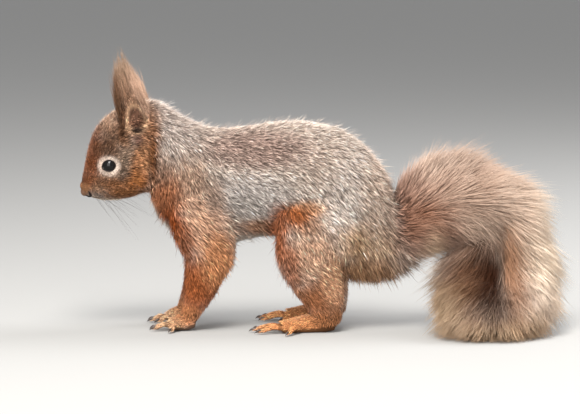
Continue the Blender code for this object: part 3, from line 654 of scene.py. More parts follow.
# tone, middle (x, distance from the midline, z), reach the same way and strength, painted in this order
patches = [
    ("pinkBrown", (-0.040, 0.03, 0.113), (0.038, 0.1, 0.013), 0.85),
    ("paleFawn", (-0.030, 0.00, 0.138), (0.075, 0.1, 0.011), 0.25),
    ("paleFawn", (-0.094, 0.02, 0.126), (0.020, 0.1, 0.021), 0.95),
    ("backFawn", (0.010, 0.03, 0.103), (0.020, 0.1, 0.014), 0.70),
    ("greyFlank", (-0.043, 0.03, 0.082), (0.032, 0.1, 0.017), 0.90),
    ("rumpPale", (0.024, 0.02, 0.090), (0.022, 0.1, 0.024), 0.75),
    ("rumpPale", (0.010, 0.03, 0.073), (0.016, 0.1, 0.009), 0.90),
    ("flankShade", (-0.052, 0.03, 0.077), (0.022, 0.1, 0.008), 0.70),
    ("rumpBrown", (0.032, 0.02, 0.054), (0.022, 0.1, 0.014), 0.85),
    ("underRump", (0.028, 0.02, 0.036), (0.030, 0.1, 0.009), 0.90),
    ("shoulderFawn", (-0.082, 0.02, 0.088), (0.015, 0.1, 0.018), 0.80),
    ("limbPeach", (-0.072, 0.03, 0.064), (0.017, 0.1, 0.017), 0.90),
    ("shoulderShade", (-0.066, 0.03, 0.083), (0.007, 0.1, 0.012), 0.70),
    ("throatRust", (-0.098, 0.02, 0.080), (0.013, 0.1, 0.022), 1.00),
    ("rust", (-0.093, 0.02, 0.060), (0.009, 0.1, 0.018), 1.00),
    ("russet", (-0.079, 0.02, 0.028), (0.020, 0.1, 0.022), 1.00),
    ("neckShade", (-0.099, 0.02, 0.100), (0.009, 0.1, 0.009), 0.60),
    ("thighRust", (-0.0850, 0.03, 0.0550), (0.0065, 0.1, 0.0140), 0.85),
    ("elbowGold", (-0.0640, 0.02, 0.0440), (0.0115, 0.1, 0.0185), 0.95),
    ("peach", (-0.006, 0.03, 0.048), (0.018, 0.1, 0.016), 0.85),
    ("bellyFawn", (-0.051, 0.03, 0.0660), (0.012, 0.1, 0.005), 0.85),
    ("bellyTan", (-0.036, 0.03, 0.0655), (0.013, 0.1, 0.006), 0.90),
    ("bellyTan", (-0.0090, 0.03, 0.0670), (0.0120, 0.1, 0.0065), 0.75),
    ("thighGold", (-0.010, 0.03, 0.0765), (0.014, 0.1, 0.0060), 0.90),
    ("orange", (-0.018, 0.03, 0.0725), (0.012, 0.1, 0.0065), 0.90),
    ("thighRust", (-0.027, 0.03, 0.058), (0.007, 0.1, 0.020), 1.00),
    ("thighRust", (-0.0190, 0.03, 0.0400), (0.0065, 0.1, 0.0170), 0.80),
    ("shankBrown", (-0.002, 0.03, 0.021), (0.020, 0.1, 0.013), 1.00),
    ("shankFawn", (0.0085, 0.03, 0.0310), (0.0085, 0.1, 0.0160), 0.85),
    ("footOrange", (-0.020, 0.03, 0.004), (0.034, 0.1, 0.008), 0.90),
    ("heelRust", (0.006, 0.03, 0.006), (0.013, 0.1, 0.010), 0.90),
    ("wristOrange", (-0.087, 0.02, 0.009), (0.013, 0.1, 0.008), 0.90),
    ("handPeach", (-0.100, 0.02, 0.003), (0.013, 0.1, 0.007), 0.90),
    ("white", (-0.030, 0.00, 0.050), (0.060, 0.012, 0.012), 0.90),
    ("white", (-0.088, 0.00, 0.058), (0.022, 0.009, 0.026), 0.85),
    ("napeBrown", (-0.1070, 0.02, 0.110), (0.0080, 0.1, 0.020), 0.90),
    ("crownBrown", (-0.128, 0.01, 0.128), (0.016, 0.1, 0.016), 0.95),
    ("browRust", (-0.143, 0.01, 0.113), (0.008, 0.1, 0.014), 0.90),
    ("browRust", (-0.146, 0.01, 0.098), (0.009, 0.1, 0.012), 0.90),
    ("cheekGrey", (-0.121, 0.02, 0.106), (0.011, 0.1, 0.012), 0.90),
    ("cheekOrange", (-0.124, 0.02, 0.090), (0.015, 0.1, 0.007), 0.90),
    ("cheekRust", (-0.1130, 0.02, 0.100), (0.006, 0.1, 0.013), 0.85),
    ("jawOrange", (-0.1155, 0.02, 0.0945), (0.006, 0.1, 0.008), 0.85),
    ("behindEar", (-0.1085, 0.02, 0.126), (0.0080, 0.1, 0.016), 0.95),
    ("crownLight", (-0.1305, 0.02, 0.1340), (0.0090, 0.1, 0.0065), 0.85),
    ("browDark", (-0.1335, 0.02, 0.1145), (0.0085, 0.1, 0.0065), 0.90),
    ("jawBrown", (-0.1240, 0.02, 0.0845), (0.0170, 0.1, 0.0045), 0.85),
    ("cheekGold", (-0.1105, 0.02, 0.1070), (0.0058, 0.1, 0.0095), 0.85),
    ("napeRust", (-0.1045, 0.02, 0.1070), (0.0028, 0.1, 0.0170), 0.85),
    ("earBelow", (-0.1144, 0.02, 0.1212), (0.0036, 0.1, 0.0054), 0.85),
    ("templeBrown", (-0.1222, 0.02, 0.1205), (0.0052, 0.1, 0.0065), 0.80),
    ("browGrey", (-0.1232, 0.02, 0.0980), (0.0058, 0.1, 0.0050), 0.55),
    ("underEye", (-0.1350, 0.02, 0.0928), (0.0110, 0.1, 0.0050), 0.80),
    ("muzzle", (-0.150, 0.01, 0.090), (0.006, 0.1, 0.007), 0.85),
    ("noseTip", (-0.1496, 0.005, 0.0880), (0.0044, 0.1, 0.0040), 0.85),
    ("whiskerPad", (-0.1400, 0.02, 0.0878), (0.0042, 0.1, 0.0036), 0.75),
    ("cream", (-0.136, 0.00, 0.0800), (0.020, 0.0055, 0.0035), 0.70),
    ("tailFawn", (0.110, 0.02, 0.085), (0.050, 0.1, 0.050), 1.00),
    ("tailRoot", (0.053, 0.02, 0.078), (0.014, 0.1, 0.040), 0.90),
    ("rumpEdge", (0.035, 0.02, 0.080), (0.012, 0.1, 0.034), 0.80),
    ("tailMid", (0.068, 0.02, 0.066), (0.017, 0.1, 0.017), 0.80),
    ("tailMid", (0.090, 0.03, 0.058), (0.015, 0.1, 0.009), 0.40),
    # pale hair at the tail's rear edge, partly painted rim light
    ("tailRimPaleAndLit", (0.146, 0.02, 0.058), (0.021, 0.1, 0.050), 0.92),
    ("tailTop", (0.088, 0.02, 0.114), (0.045, 0.1, 0.018), 0.85),
    ("tailMid", (0.064, 0.02, 0.084), (0.018, 0.1, 0.016), 0.45),
    ("tailPale", (0.1215, 0.03, 0.0740), (0.0150, 0.1, 0.0260), 0.75),
    ("tailCream", (0.112, 0.06, 0.000), (0.060, 0.1, 0.012), 0.95),
    ("tailPale", (0.0990, 0.03, 0.0640), (0.0110, 0.1, 0.0090), 0.55),
    ("tailRust", (0.1200, 0.03, 0.036), (0.0095, 0.1, 0.029), 0.85),
    ("tailGold", (0.0800, 0.04, 0.018), (0.0120, 0.1, 0.012), 0.80),
    # brown painted shade on the inner side of the tail's fall, beside and below its furrow
    ("tailShadeBrown", (0.0925, 0.03, 0.029), (0.0130, 0.1, 0.023), 0.92),
    ("tailShadeBrown", (0.1090, 0.03, 0.014), (0.0110, 0.1, 0.010), 0.55),
    ("tailLeft", (0.0720, 0.04, 0.038), (0.0070, 0.1, 0.024), 0.92),
    ("earHair", (-0.1185, 0.016, 0.1480), (0.0150, 0.012, 0.0150), 0.95),
    # painted shade along the ear's front edge
    ("earFrontShade", (-0.1246, 0.016, 0.1320), (0.0028, 0.012, 0.0130), 0.90),
    ("mouthLine", (-0.1435, 0.006, 0.0821), (0.0050, 0.006, 0.0007), 0.80),
    ("mouthLine", (-0.1305, 0.010, 0.0830), (0.0022, 0.006, 0.0010), 0.60),
]
# painted shade in the furrow on the near face of the tail's end, and the pale ring round the eye
tailCreaseShade = {"middle": (0.1040, -0.050, 0.033), "reach": (0.0115, 0.080, 0.025), "strength": 1.0}
eyeRing = {"edge": 1.83, "strength": 0.97}
# the ear's bare hollow: its middle, half width and half height, its lean to the front, how it narrows
# upwards, and how far from the midline it starts; then its rim, mottling and the painted shadow in the notch
# below it
bareEar = {
    "middle": (-0.1160, 0.0, 0.1330), "half": (5.2 * mm, 8.3 * mm), "lean": 15.0, "narrow": 0.30,
    "outside": 0.0106, "rim": 1.10, "rimWidth": 0.20, "edge": 0.92, "strength": 0.95, "mottle": 0.75,
    "grain": 1.1 * mm, "notchShade": (-0.1146, 0.0, 0.1248), "notchShadeReach": (0.0046, 1, 0.0019),
}
# how uneven the edges of the markings are: share and grain of two noises
raggedEdge = {"coarse": (0.22, 5 * mm), "fine": (0.16, 1.7 * mm)}


def earShare(points):
    # distance from the hollow's middle, 1 on its rim
    lean = math.radians(bareEar["lean"])
    x, z = points[:, 0] - bareEar["middle"][0], points[:, 2] - bareEar["middle"][2]
    rise = (z * math.cos(lean) - x * math.sin(lean)) / bareEar["half"][1]
    across = (x * math.cos(lean) + z * math.sin(lean)) / bareEar["half"][0]
    return np.hypot(across / (1 - bareEar["narrow"] * np.clip(rise, -1.3, 1.3)), rise)


def inEarHollow(points):
    return (earShare(points) < 0.95) & (np.abs(points[:, 1]) > bareEar["outside"])


def layOver(colour, tone, weight):
    return colour + (np.array(tones[tone]) - colour) * weight[:, None]


def marking(points):
    # each patch covers what went before with weight strength * exp(-(share of its reach)^4), with an edge
    # made uneven
    near = mirrored(points)
    (coarse, coarseGrain), (fine, fineGrain) = raggedEdge["coarse"], raggedEdge["fine"]
    uneven = 1 + coarse * softNoise(points, coarseGrain, 11) + fine * softNoise(points, fineGrain, 12)
    colour = np.tile(np.array(tones["grizzle"]), (len(points), 1))
    for tone, middle, reach, strength in patches:
        share = (((near - middle) / reach) ** 2).sum(1) * uneven
        colour = layOver(colour, tone, strength * np.exp(-share ** 2))
    # painted shade in the tail's furrow
    share = (((points - tailCreaseShade["middle"]) / tailCreaseShade["reach"]) ** 2).sum(1) * uneven
    colour = layOver(colour, "tailShade", tailCreaseShade["strength"] * np.exp(-share ** 2))
    share, along, _ = eyeShare(points)
    ring = eyeRing["strength"] * np.exp(-(share * uneven ** 0.25 / eyeRing["edge"]) ** 12) * (along > -3 * mm)
    colour = layOver(colour, "ringCream", ring)
    share = earShare(points)
    outside = np.clip((near[:, 1] - bareEar["outside"]) / (1 * mm), 0, 1)
    rim = outside * np.exp(-((share - bareEar["rim"]) / bareEar["rimWidth"]) ** 2)
    colour = layOver(colour, "earRim", rim)
    inside = outside * np.exp(-(share / bareEar["edge"]) ** 10)
    colour = layOver(colour, "earInner", bareEar["strength"] * inside)
    colour *= np.exp(bareEar["mottle"] * inside * softNoise(points, bareEar["grain"], 13))[:, None]
    # painted shadow in the notch below the ear's hollow
    notchShade = (((near - bareEar["notchShade"]) * (1, 0, 1) / bareEar["notchShadeReach"]) ** 2).sum(1)
    return layOver(colour, "earNotchShade", bareEar["strength"] * outside * np.exp(-notchShade ** 2))


# finishes
def nodeGroup(name, inputs, outputs):
    group = bpy.data.node_groups.new(name, "ShaderNodeTree")
    for title, kind, value in inputs:
        port = group.interface.new_socket(title, in_out="INPUT", socket_type=kind)
        port.default_value = value
    for title, kind in outputs:
        group.interface.new_socket(title, in_out="OUTPUT", socket_type=kind)
    return group, group.nodes.new("NodeGroupInput"), group.nodes.new("NodeGroupOutput")


def unevenTone():
    # noise in the piece's own coordinates makes a colour lighter and darker by the contrast
    group, given, put = nodeGroup(
        "unevenTone",
        [("Colour", "NodeSocketColor", (0.5, 0.5, 0.5, 1)), ("Grain", "NodeSocketFloat", 400.0),
         ("Contrast", "NodeSocketFloat", 0.2)],
        [("Colour", "NodeSocketColor")])
    nodes, link = group.nodes, group.links.new
    place = nodes.new("ShaderNodeTexCoord")
    noise = nodes.new("ShaderNodeTexNoise")
    noise.inputs["Detail"].default_value = 3.0
    link(place.outputs["Object"], noise.inputs["Vector"])
    link(given.outputs["Grain"], noise.inputs["Scale"])
    swing = nodes.new("ShaderNodeMath")
    swing.operation = "SUBTRACT"
    swing.inputs[1].default_value = 0.5
    link(noise.outputs["Fac"], swing.inputs[0])
    size = nodes.new("ShaderNodeMath")
    size.operation = "MULTIPLY_ADD"
    size.inputs[2].default_value = 1.0
    link(swing.outputs[0], size.inputs[0])
    link(given.outputs["Contrast"], size.inputs[1])
    tint = nodes.new("ShaderNodeVectorMath")
    tint.operation = "SCALE"
    link(given.outputs["Colour"], tint.inputs[0])
    link(size.outputs[0], tint.inputs["Scale"])
    link(tint.outputs[0], put.inputs["Colour"])
    return group


def fineRelief():
    # two sizes of noise as relief on the surface, in the piece's own coordinates
    group, given, put = nodeGroup(
        "fineRelief",
        [("Grain", "NodeSocketFloat", 900.0), ("Height", "NodeSocketFloat", 0.0002),
         ("Strength", "NodeSocketFloat", 0.5)],
        [("Normal", "NodeSocketVector")])
    nodes, link = group.nodes, group.links.new
    place = nodes.new("ShaderNodeTexCoord")
    noise = nodes.new("ShaderNodeTexNoise")
    noise.inputs["Detail"].default_value = 4.0
    link(place.outputs["Object"], noise.inputs["Vector"])
    link(given.outputs["Grain"], noise.inputs["Scale"])
    bump = nodes.new("ShaderNodeBump")
    link(noise.outputs["Fac"], bump.inputs["Height"])
    link(given.outputs["Height"], bump.inputs["Distance"])
    link(given.outputs["Strength"], bump.inputs["Strength"])
    link(bump.outputs["Normal"], put.inputs["Normal"])
    return group


# base colour, or None for the painted one, roughness, noise grain, contrast, relief height and strength
finishes = {
    "coatHair": (None, 0.62, 2400.0, 0.20, 0.0, 0.0),
    "hide": (None, 0.80, 1600.0, 0.50, 0.0004, 0.8),
    "bareSkin": (None, 0.55, 2600.0, 0.70, 0.00025, 0.9),
    "eyeBlack": ((0.004, 0.003, 0.003), 0.03, 600.0, 0.30, 0.0, 0.0),
    "lidSkin": ((0.014, 0.010, 0.009), 0.50, 2500.0, 0.30, 0.00008, 0.5),
    "horn": (None, 0.32, 1800.0, 0.40, 0.00005, 0.4),
    "whiskerHair": ((0.035, 0.024, 0.020), 0.40, 900.0, 0.30, 0.0, 0.0),
}
gloss = {"coatHair": 0.07, "hide": 0.06, "lidSkin": 0.12, "eyeBlack": 0.24}  # how strongly each mirrors light


def makeFinishes():
    tone, relief = unevenTone(), fineRelief()
    made = {}
    for name, (base, roughness, grain, contrast, height, strength) in finishes.items():
        finish = bpy.data.materials.new(name)
        finish.use_nodes = True
        nodes, link = finish.node_tree.nodes, finish.node_tree.links.new
        shader = nodes["Principled BSDF"]
        shader.inputs["Roughness"].default_value = roughness
        shade = nodes.new("ShaderNodeGroup")
        shade.node_tree = tone
        shade.inputs["Grain"].default_value = grain
        shade.inputs["Contrast"].default_value = contrast
        if base is None:
            painted = nodes.new("ShaderNodeAttribute")
            painted.attribute_name = "coatColour"
            link(painted.outputs["Color"], shade.inputs["Colour"])
        else:
            shade.inputs["Colour"].default_value = (*base, 1)
        link(shade.outputs["Colour"], shader.inputs["Base Color"])
        if strength > 0:
            rough = nodes.new("ShaderNodeGroup")
            rough.node_tree = relief
            rough.inputs["Grain"].default_value = grain
            rough.inputs["Height"].default_value = height
            rough.inputs["Strength"].default_value = strength
            link(rough.outputs["Normal"], shader.inputs["Normal"])
        made[name] = finish
    for name, level in gloss.items():
        made[name].node_tree.nodes["Principled BSDF"].inputs["Specular IOR Level"].default_value = level
    return made


def makeFloor():
    floor = bpy.data.materials.new("paleFloor")
    floor.use_nodes = True
    shader = floor.node_tree.nodes["Principled BSDF"]
    shader.inputs["Base Color"].default_value = (*studio["floor"], 1)
    shader.inputs["Roughness"].default_value = studio["floorRoughness"]
    corners = np.array([(-1, -1, 0), (1, -1, 0), (1, 1, 0), (-1, 1, 0)]) * studio["floorReach"]
    makeMesh("floor", corners, np.array([[0, 1, 2, 3]]), floor, smooth=False)


def finishPiece(piece, replaced=()):
    # the mesh is made in the animal's own frame; here it moves on to the CAD's
    piece.data.transform(fromOwnFrame)
    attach(piece, "root")
    if replaced:
        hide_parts(*replaced)
    return piece


# skin
skinForm = {
    "voxel": 0.70 * mm, "rounds": 5, "faces": 150000, "lowest": 0.15 * mm,
    "bodyRings": (500, 96), "limbRings": (90, 48),  # rings along a loft and points round each
    # the skin's tone as a share of the marking: on the trunk, the tail, the paws and the ear's hollow
    "tone": 0.46, "tailTone": 0.75, "tailFrom": 0.045, "tailBlend": 0.02,
    "pawTone": 0.22, "pawTop": 12 * mm, "pawRear": 0.03, "earTone": 0.45,
}


def insetAt(loft, u, theta):
    # how deep the skin lies under the coat
    depth = readRow(loft["coat"]["depth"], loft, u) * mm
    if loft["name"] == "body":
        bend = bodyForm["innerSide"]
        inner = np.clip(-np.cos(theta), 0, 1) ** 2 * np.clip((u - bend["from"]) / bend["over"], 0, 1)
        depth = depth * (1 - bend["thinner"] * inner)
    return depth


def loftRings(loft, rows, columns):
    last = bodyForm["tailHair"]["closeAt"] - 0.01 if loft["name"] == "body" else loft["last"]
    u = np.repeat(np.linspace(0, last, rows), columns)
    theta = np.tile(np.arange(columns) / columns * turn, rows)
    return surfacePoint(loft, u, theta, insetAt(loft, u, theta)).reshape(rows, columns, 3)


def makeSkin(lofts, finish):
    points, faces, start = [], [], 0
    for name, loft in lofts.items():
        rings = loftRings(loft, *skinForm["bodyRings" if name == "body" else "limbRings"])
        rough = tubeMesh("rough", rings, finish)
        count = len(rough.data.vertices)
        co = np.empty(count * 3, np.float32)
        rough.data.vertices.foreach_get("co", co)
        corner = np.empty(len(rough.data.polygons) * 3, np.int32)
        rough.data.polygons.foreach_get("vertices", corner)
        points.append(co.reshape(-1, 3))
        faces.append(corner.reshape(-1, 3) + start)
        start += count
        bpy.data.objects.remove(rough, do_unlink=True)
    skin = makeMesh("skin", np.concatenate(points), np.concatenate(faces), finish)
    grid = skin.modifiers.new("grid", "REMESH")
    grid.mode = "VOXEL"
    grid.voxel_size = skinForm["voxel"]
    soften = skin.modifiers.new("soften", "SMOOTH")
    soften.factor = 0.5
    soften.iterations = skinForm["rounds"]
    settle(skin)
    triangles = sum(len(p.vertices) - 2 for p in skin.data.polygons)
    print("skin: triangles before thinning", triangles)
    if triangles > skinForm["faces"]:
        thin = skin.modifiers.new("thin", "DECIMATE")
        thin.ratio = skinForm["faces"] / triangles
        settle(skin)
    refine(skin.data)
    co = np.empty(len(skin.data.vertices) * 3, np.float32)
    skin.data.vertices.foreach_get("co", co)
    co = co.reshape(-1, 3).astype(float)
    co[:, 2] = np.maximum(co[:, 2], skinForm["lowest"])
    tail = np.clip((co[:, 0] - skinForm["tailFrom"]) / skinForm["tailBlend"], 0, 1)
    tone = skinForm["tone"] + (skinForm["tailTone"] - skinForm["tone"]) * tail
    tone = np.where(inEarHollow(co), skinForm["earTone"], tone)
    paw = (co[:, 2] < skinForm["pawTop"]) & (co[:, 0] < skinForm["pawRear"])
    tone = np.where(paw, skinForm["pawTone"], tone)[:, None]
    paint(skin.data, marking(co) * tone)
    skin.data.vertices.foreach_set("co", socket(co).astype(np.float32).ravel())
    skin.data.polygons.foreach_set("use_smooth", np.ones(len(skin.data.polygons), bool))
    skin.data.update()
    return skin


def refine(mesh):
    # smaller faces round the eyes, so that the lids' edge is clean
    form = bmesh.new()
    form.from_mesh(mesh)
    for _ in range(2):
        share, along, _ = eyeShare(np.array([v.co[:] for v in form.verts]))
        near = (share < lidForm["fine"]) & (along > lidForm["behind"])
        form.verts.ensure_lookup_table()
        edges = [e for e in form.edges if near[e.verts[0].index] and near[e.verts[1].index]]
        bmesh.ops.subdivide_edges(form, edges=edges, cuts=1, use_grid_fill=True)
        form.verts.index_update()
    form.to_mesh(mesh)
    form.free()


def settle(piece):
    graph = bpy.context.evaluated_depsgraph_get()
    mesh = bpy.data.meshes.new_from_object(piece.evaluated_get(graph))
    piece.modifiers.clear()
    piece.data = mesh


lidForm = {
    # the eye's axis, the opening's half axes, the way to its front corner and how far that is drawn out
    "axis": (-0.03, 0.990, 0.03), "long": 3.98 * mm, "high": 3.40 * mm,
    "cornerWay": 205.0, "corner": 0.17, "cornerWidth": 0.30,
    # the rim's half thickness and height on the eye; how far the skin is drawn in under the eye, how it lies
    # on it and rises from the rim; how far behind the eye's middle this ends
    "thick": 0.40 * mm, "rise": 0.12 * mm, "under": 0.5 * mm, "lift": 0.15 * mm, "slope": 0.22, "bank": 0.10,
    "behind": -2.0 * mm,
    # shares of the half axes: where the skin starts to lie on the eye, stops, and stops being eased; and
    # within which it has small faces
    "edge": 1.03, "over": 1.5, "eased": 2.5, "fine": 2.0,
    "bulge": 0.04, "bulgeReach": 34.0,  # how the front of the eyeball stands out, over how many degrees
}


def eyeAxes(side):
    # outward, forward and upward directions of the eye
    out = unit(np.array(lidForm["axis"]) * (1, side, 1))
    forward = unit(np.array([-1.0, 0, 0]) - out * -out[0])
    up = np.cross(out, forward)
    return out, forward, up * np.sign(up[2])


def eyeShare(points):
    # distance from the eye's axis as a share of the opening's half axes, the way along that axis, and the
    # distance itself
    out, forward, up = eyeAxes(1)
    away = mirrored(points) - eyeForm["place"]
    f, g = away @ forward, away @ up
    return np.hypot(f / lidForm["long"], g / lidForm["high"]), away @ out, np.hypot(f, g)


def socket(points):
    # inside the opening the skin is drawn in under the eyeball; round it the skin is lifted on to it as a lid
    share, along, off = eyeShare(points)
    ball = np.sqrt(np.maximum(eyeForm["radius"] ** 2 - off ** 2, 0))
    edge = off / np.maximum(share, 0.01)
    rim = np.sqrt(np.maximum(eyeForm["radius"] ** 2 - edge ** 2, 0)) + lidForm["lift"]
    here = along > lidForm["behind"]
    tucked = np.minimum(along, ball - lidForm["under"])
    target = np.where(here & (share < lidForm["edge"]), tucked, along)
    beyond = here & (share >= lidForm["edge"])
    lid = ball + lidForm["lift"] * (1 - (share - 1) / (lidForm["over"] - 1))
    target = np.where(beyond & (share < lidForm["over"]), np.maximum(target, lid), target)
    # from the rim it rises no faster than slope * distance + bank * distance^2
    gap = off - edge
    bank = rim + gap * lidForm["slope"] + gap ** 2 * lidForm["bank"] / mm
    target = np.where(beyond & (share < lidForm["eased"]), np.minimum(target, bank), target)
    move = (target - along)[:, None] * eyeAxes(1)[0]
    move[:, 1] *= np.sign(points[:, 1])
    return points + move


# coat
coatForm = {
    # how deep a tuft is rooted, the lowest a hair may lie, the side of its square on the map, how high its
    # ridge is to its half width, and how it tapers over its rings
    "sink": 0.25 * mm, "floor": 0.35 * mm, "patch": 0.003, "ridge": 0.55,
    "taper": {2: (0.8, 0.9), 3: (0.7, 1.0, 0.72)},
    "bodyGrid": (30, 90), "limbGrid": (16, 40),  # cells for the roots: along two stations, and round
    # how uneven the tufts' length, width and angle are, and the share of hairs that stand out
    "lengths": (0.72, 1.18), "widths": (0.75, 1.2), "lifts": 4.0, "stray": 0.06,
    # no hair on what faces down by this much below this height: the soles, and where the body rests
    "sole": (-0.45, 5 * mm), "resting": (-0.60, 2 * mm),
    # clouds of tone over the coat, share and grain; grain of the flecks; middle and tip of dark-tipped tufts
    "clouds": (0.06, 3.2 * mm), "speckleGrain": 1.0 * mm, "darkShades": (0.70, 0.45),
    # round the eye, within so many half axes of the opening: even in tone, and shorter by this share
    "calmReach": 1.85, "calm": 0.85, "shorter": 0.50, "lidReach": 0.45,
    # in the ear's hollow: share of the hairs kept, their length, and how uneven their tone is
    "hollowKept": 0.40, "hollowLength": 0.40, "hollowTone": (-0.15, 0.50),
}
looks = {
    # guard: how far the longer hairs stand out, in degrees, and how much longer and wider they are, in
    # shares; clump: size of the locks in mm, turn and uneven: how far they turn and how much their length
    # differs; jitter: turn of one tuft; spread: how uneven the tufts' tone is; ticking: share of dark-tipped
    # tufts; speckle: light and dark flecks across the coat; then the shades of root, middle and tip, and a
    # tone that the tips take on, with its share
    "face": {
        "guard": (30.0, 1.35, 1.1), "clump": 2.2, "turn": 0.16, "uneven": 0.10, "jitter": 0.20,
        "spread": 0.34, "ticking": 0.24, "speckle": 1.0, "shades": (0.42, 0.90, 1.18),
    },
    "trunk": {
        "guard": (30.0, 1.35, 1.2), "clump": 2.8, "turn": 0.12, "uneven": 0.12, "jitter": 0.17,
        "spread": 0.31, "ticking": 0.24, "speckle": 0.70, "shades": (0.42, 0.74, 1.34),
    },
    "leg": {
        "guard": (26.0, 1.20, 1.0), "clump": 2.6, "turn": 0.14, "uneven": 0.12, "jitter": 0.16,
        "spread": 0.28, "ticking": 0.18, "speckle": 0.55, "shades": (0.42, 0.90, 1.18),
    },
    "tail": {
        "guard": (13.0, 1.15, 1.1), "clump": 5.0, "turn": 0.17, "uneven": 0.24, "jitter": 0.15,
        "spread": 0.05, "ticking": 0.0, "speckle": 0.0, "shades": (0.78, 0.95, 1.06),
        "tips": ("tailTip", 0.30),
    },
}


def rootsOn(loft, low, high, rng):
    # cells of the loft's own grid get roots in proportion to their area and the coat's count there
    perStation, columns = coatForm["bodyGrid" if loft["name"] == "body" else "limbGrid"]
    rows = max(int((high - low) * perStation / 2), 4)
    uEdge, tEdge = np.linspace(low, high, rows + 1), np.linspace(0, turn, columns + 1)
    u, theta = np.repeat(uEdge, columns + 1), np.tile(tEdge, rows + 1)
    grid = surfacePoint(loft, u, theta, insetAt(loft, u, theta)).reshape(rows + 1, columns + 1, 3)
    first, second = grid[1:, 1:] - grid[:-1, :-1], grid[1:, :-1] - grid[:-1, 1:]
    area = np.linalg.norm(np.cross(first, second), axis=2) / 2
    middleU = (uEdge[1:] + uEdge[:-1]) / 2
    count = readRow(loft["coat"]["count"], loft, middleU)[:, None] / mm ** 2
    number = np.floor(area * count + rng.random(area.shape)).astype(int).ravel()
    cell = np.repeat(np.arange(rows * columns), number)
    row, column = cell // columns, cell % columns
    u = uEdge[row] + rng.random(len(cell)) * (uEdge[1] - uEdge[0])
    theta = tEdge[column] + rng.random(len(cell)) * (tEdge[1] - tEdge[0])
    return np.clip(u, 0, loft["last"]), theta


def tubeSides(rings):
    # the sides of a three-sided tube, two triangles to each
    sides = []
    for k in range(rings - 1):
        a = 3 * k
        for i, j in ((0, 1), (1, 2), (2, 0)):
            sides += [(a + i, a + 3 + i, a + 3 + j), (a + i, a + 3 + j, a + j)]
    return sides


def repeatFaces(pattern, points, per, count):
    # the same faces on each of count tubes of per points, turned outward
    pattern = np.array(pattern)
    sample = points[:per]
    if signedVolume(sample - sample[0], pattern) < 0:
        pattern = pattern[:, ::-1]
    return (pattern[None] + (np.arange(count) * per)[:, None, None]).reshape(-1, 3)


def growTufts(name, finish, root, normal, flow, length, width, angles, colours, spots, steps=2):
    # a tuft is a three-sided lock: it leaves the skin at its first angle, bends to its last one and tapers to
    # a point; its rings are at even steps of its length, and colours holds root, middle and tip
    count = len(root)
    path = [root - normal * coatForm["sink"]]
    for k in range(steps):
        share = (k + 0.5) / steps
        angle = np.radians(angles[:, 0] * (1 - share) + angles[:, 1] * share)[:, None]
        path.append(path[-1] + (flow * np.cos(angle) + normal * np.sin(angle)) * (length / steps)[:, None])
    across = unit(np.cross(normal, flow))
    above = unit(np.cross(flow, across))
    taper = coatForm["taper"][steps]
    points, shade, patch = [], [], []
    for k in range(steps):
        half = (width * taper[k] / 2)[:, None]
        lift = half * coatForm["ridge"]
        points += [path[k] - across * half, path[k] + across * half, path[k] + above * lift]
        t = k / steps
        stop = colours[0] * (1 - 2 * t) + colours[1] * 2 * t if t < 0.5 else \
            colours[1] * (2 - 2 * t) + colours[2] * (2 * t - 1)
        shade += [stop, stop, stop]
        edge = coatForm["patch"] / 2
        for du, dv in ((-edge, 0), (edge, 0), (0, -edge / 2)):
            patch.append(spots + (du, dv + (t - 0.5) * coatForm["patch"]))
    points.append(path[-1])
    shade.append(colours[2])
    patch.append(spots + (0, coatForm["patch"] / 2))
    per = 3 * steps + 1
    points = np.stack(points, 1).reshape(-1, 3)
    points[:, 2] = np.maximum(points[:, 2], coatForm["floor"])
    shade = np.stack(shade, 1).reshape(-1, 3)
    patch = np.stack(patch, 1).reshape(-1, 2)
    a = 3 * (steps - 1)
    point = [(a + i, per - 1, a + j) for i, j in ((0, 1), (1, 2), (2, 0))]
    faces = repeatFaces([(0, 1, 2)] + tubeSides(steps) + point, points, per, count)
    print(name, count, "tufts", len(faces), "triangles")
    return makeMesh(name, points, faces, finish, np.clip(shade, 0.002, 0.95), np.clip(patch, 0.001, 0.999))


def feather(theta):
    # the way from the bone line, in the middle of both faces, to the nearer edge: -1 to 1
    return -np.tanh(np.cos(theta) / bodyForm["tailHair"]["parting"]) * np.sin(theta)


def calmAt(share, along):
    # 1 round the eye, 0 away from it
    return np.exp(-(share / coatForm["calmReach"]) ** 8) * (along > -4 * mm)


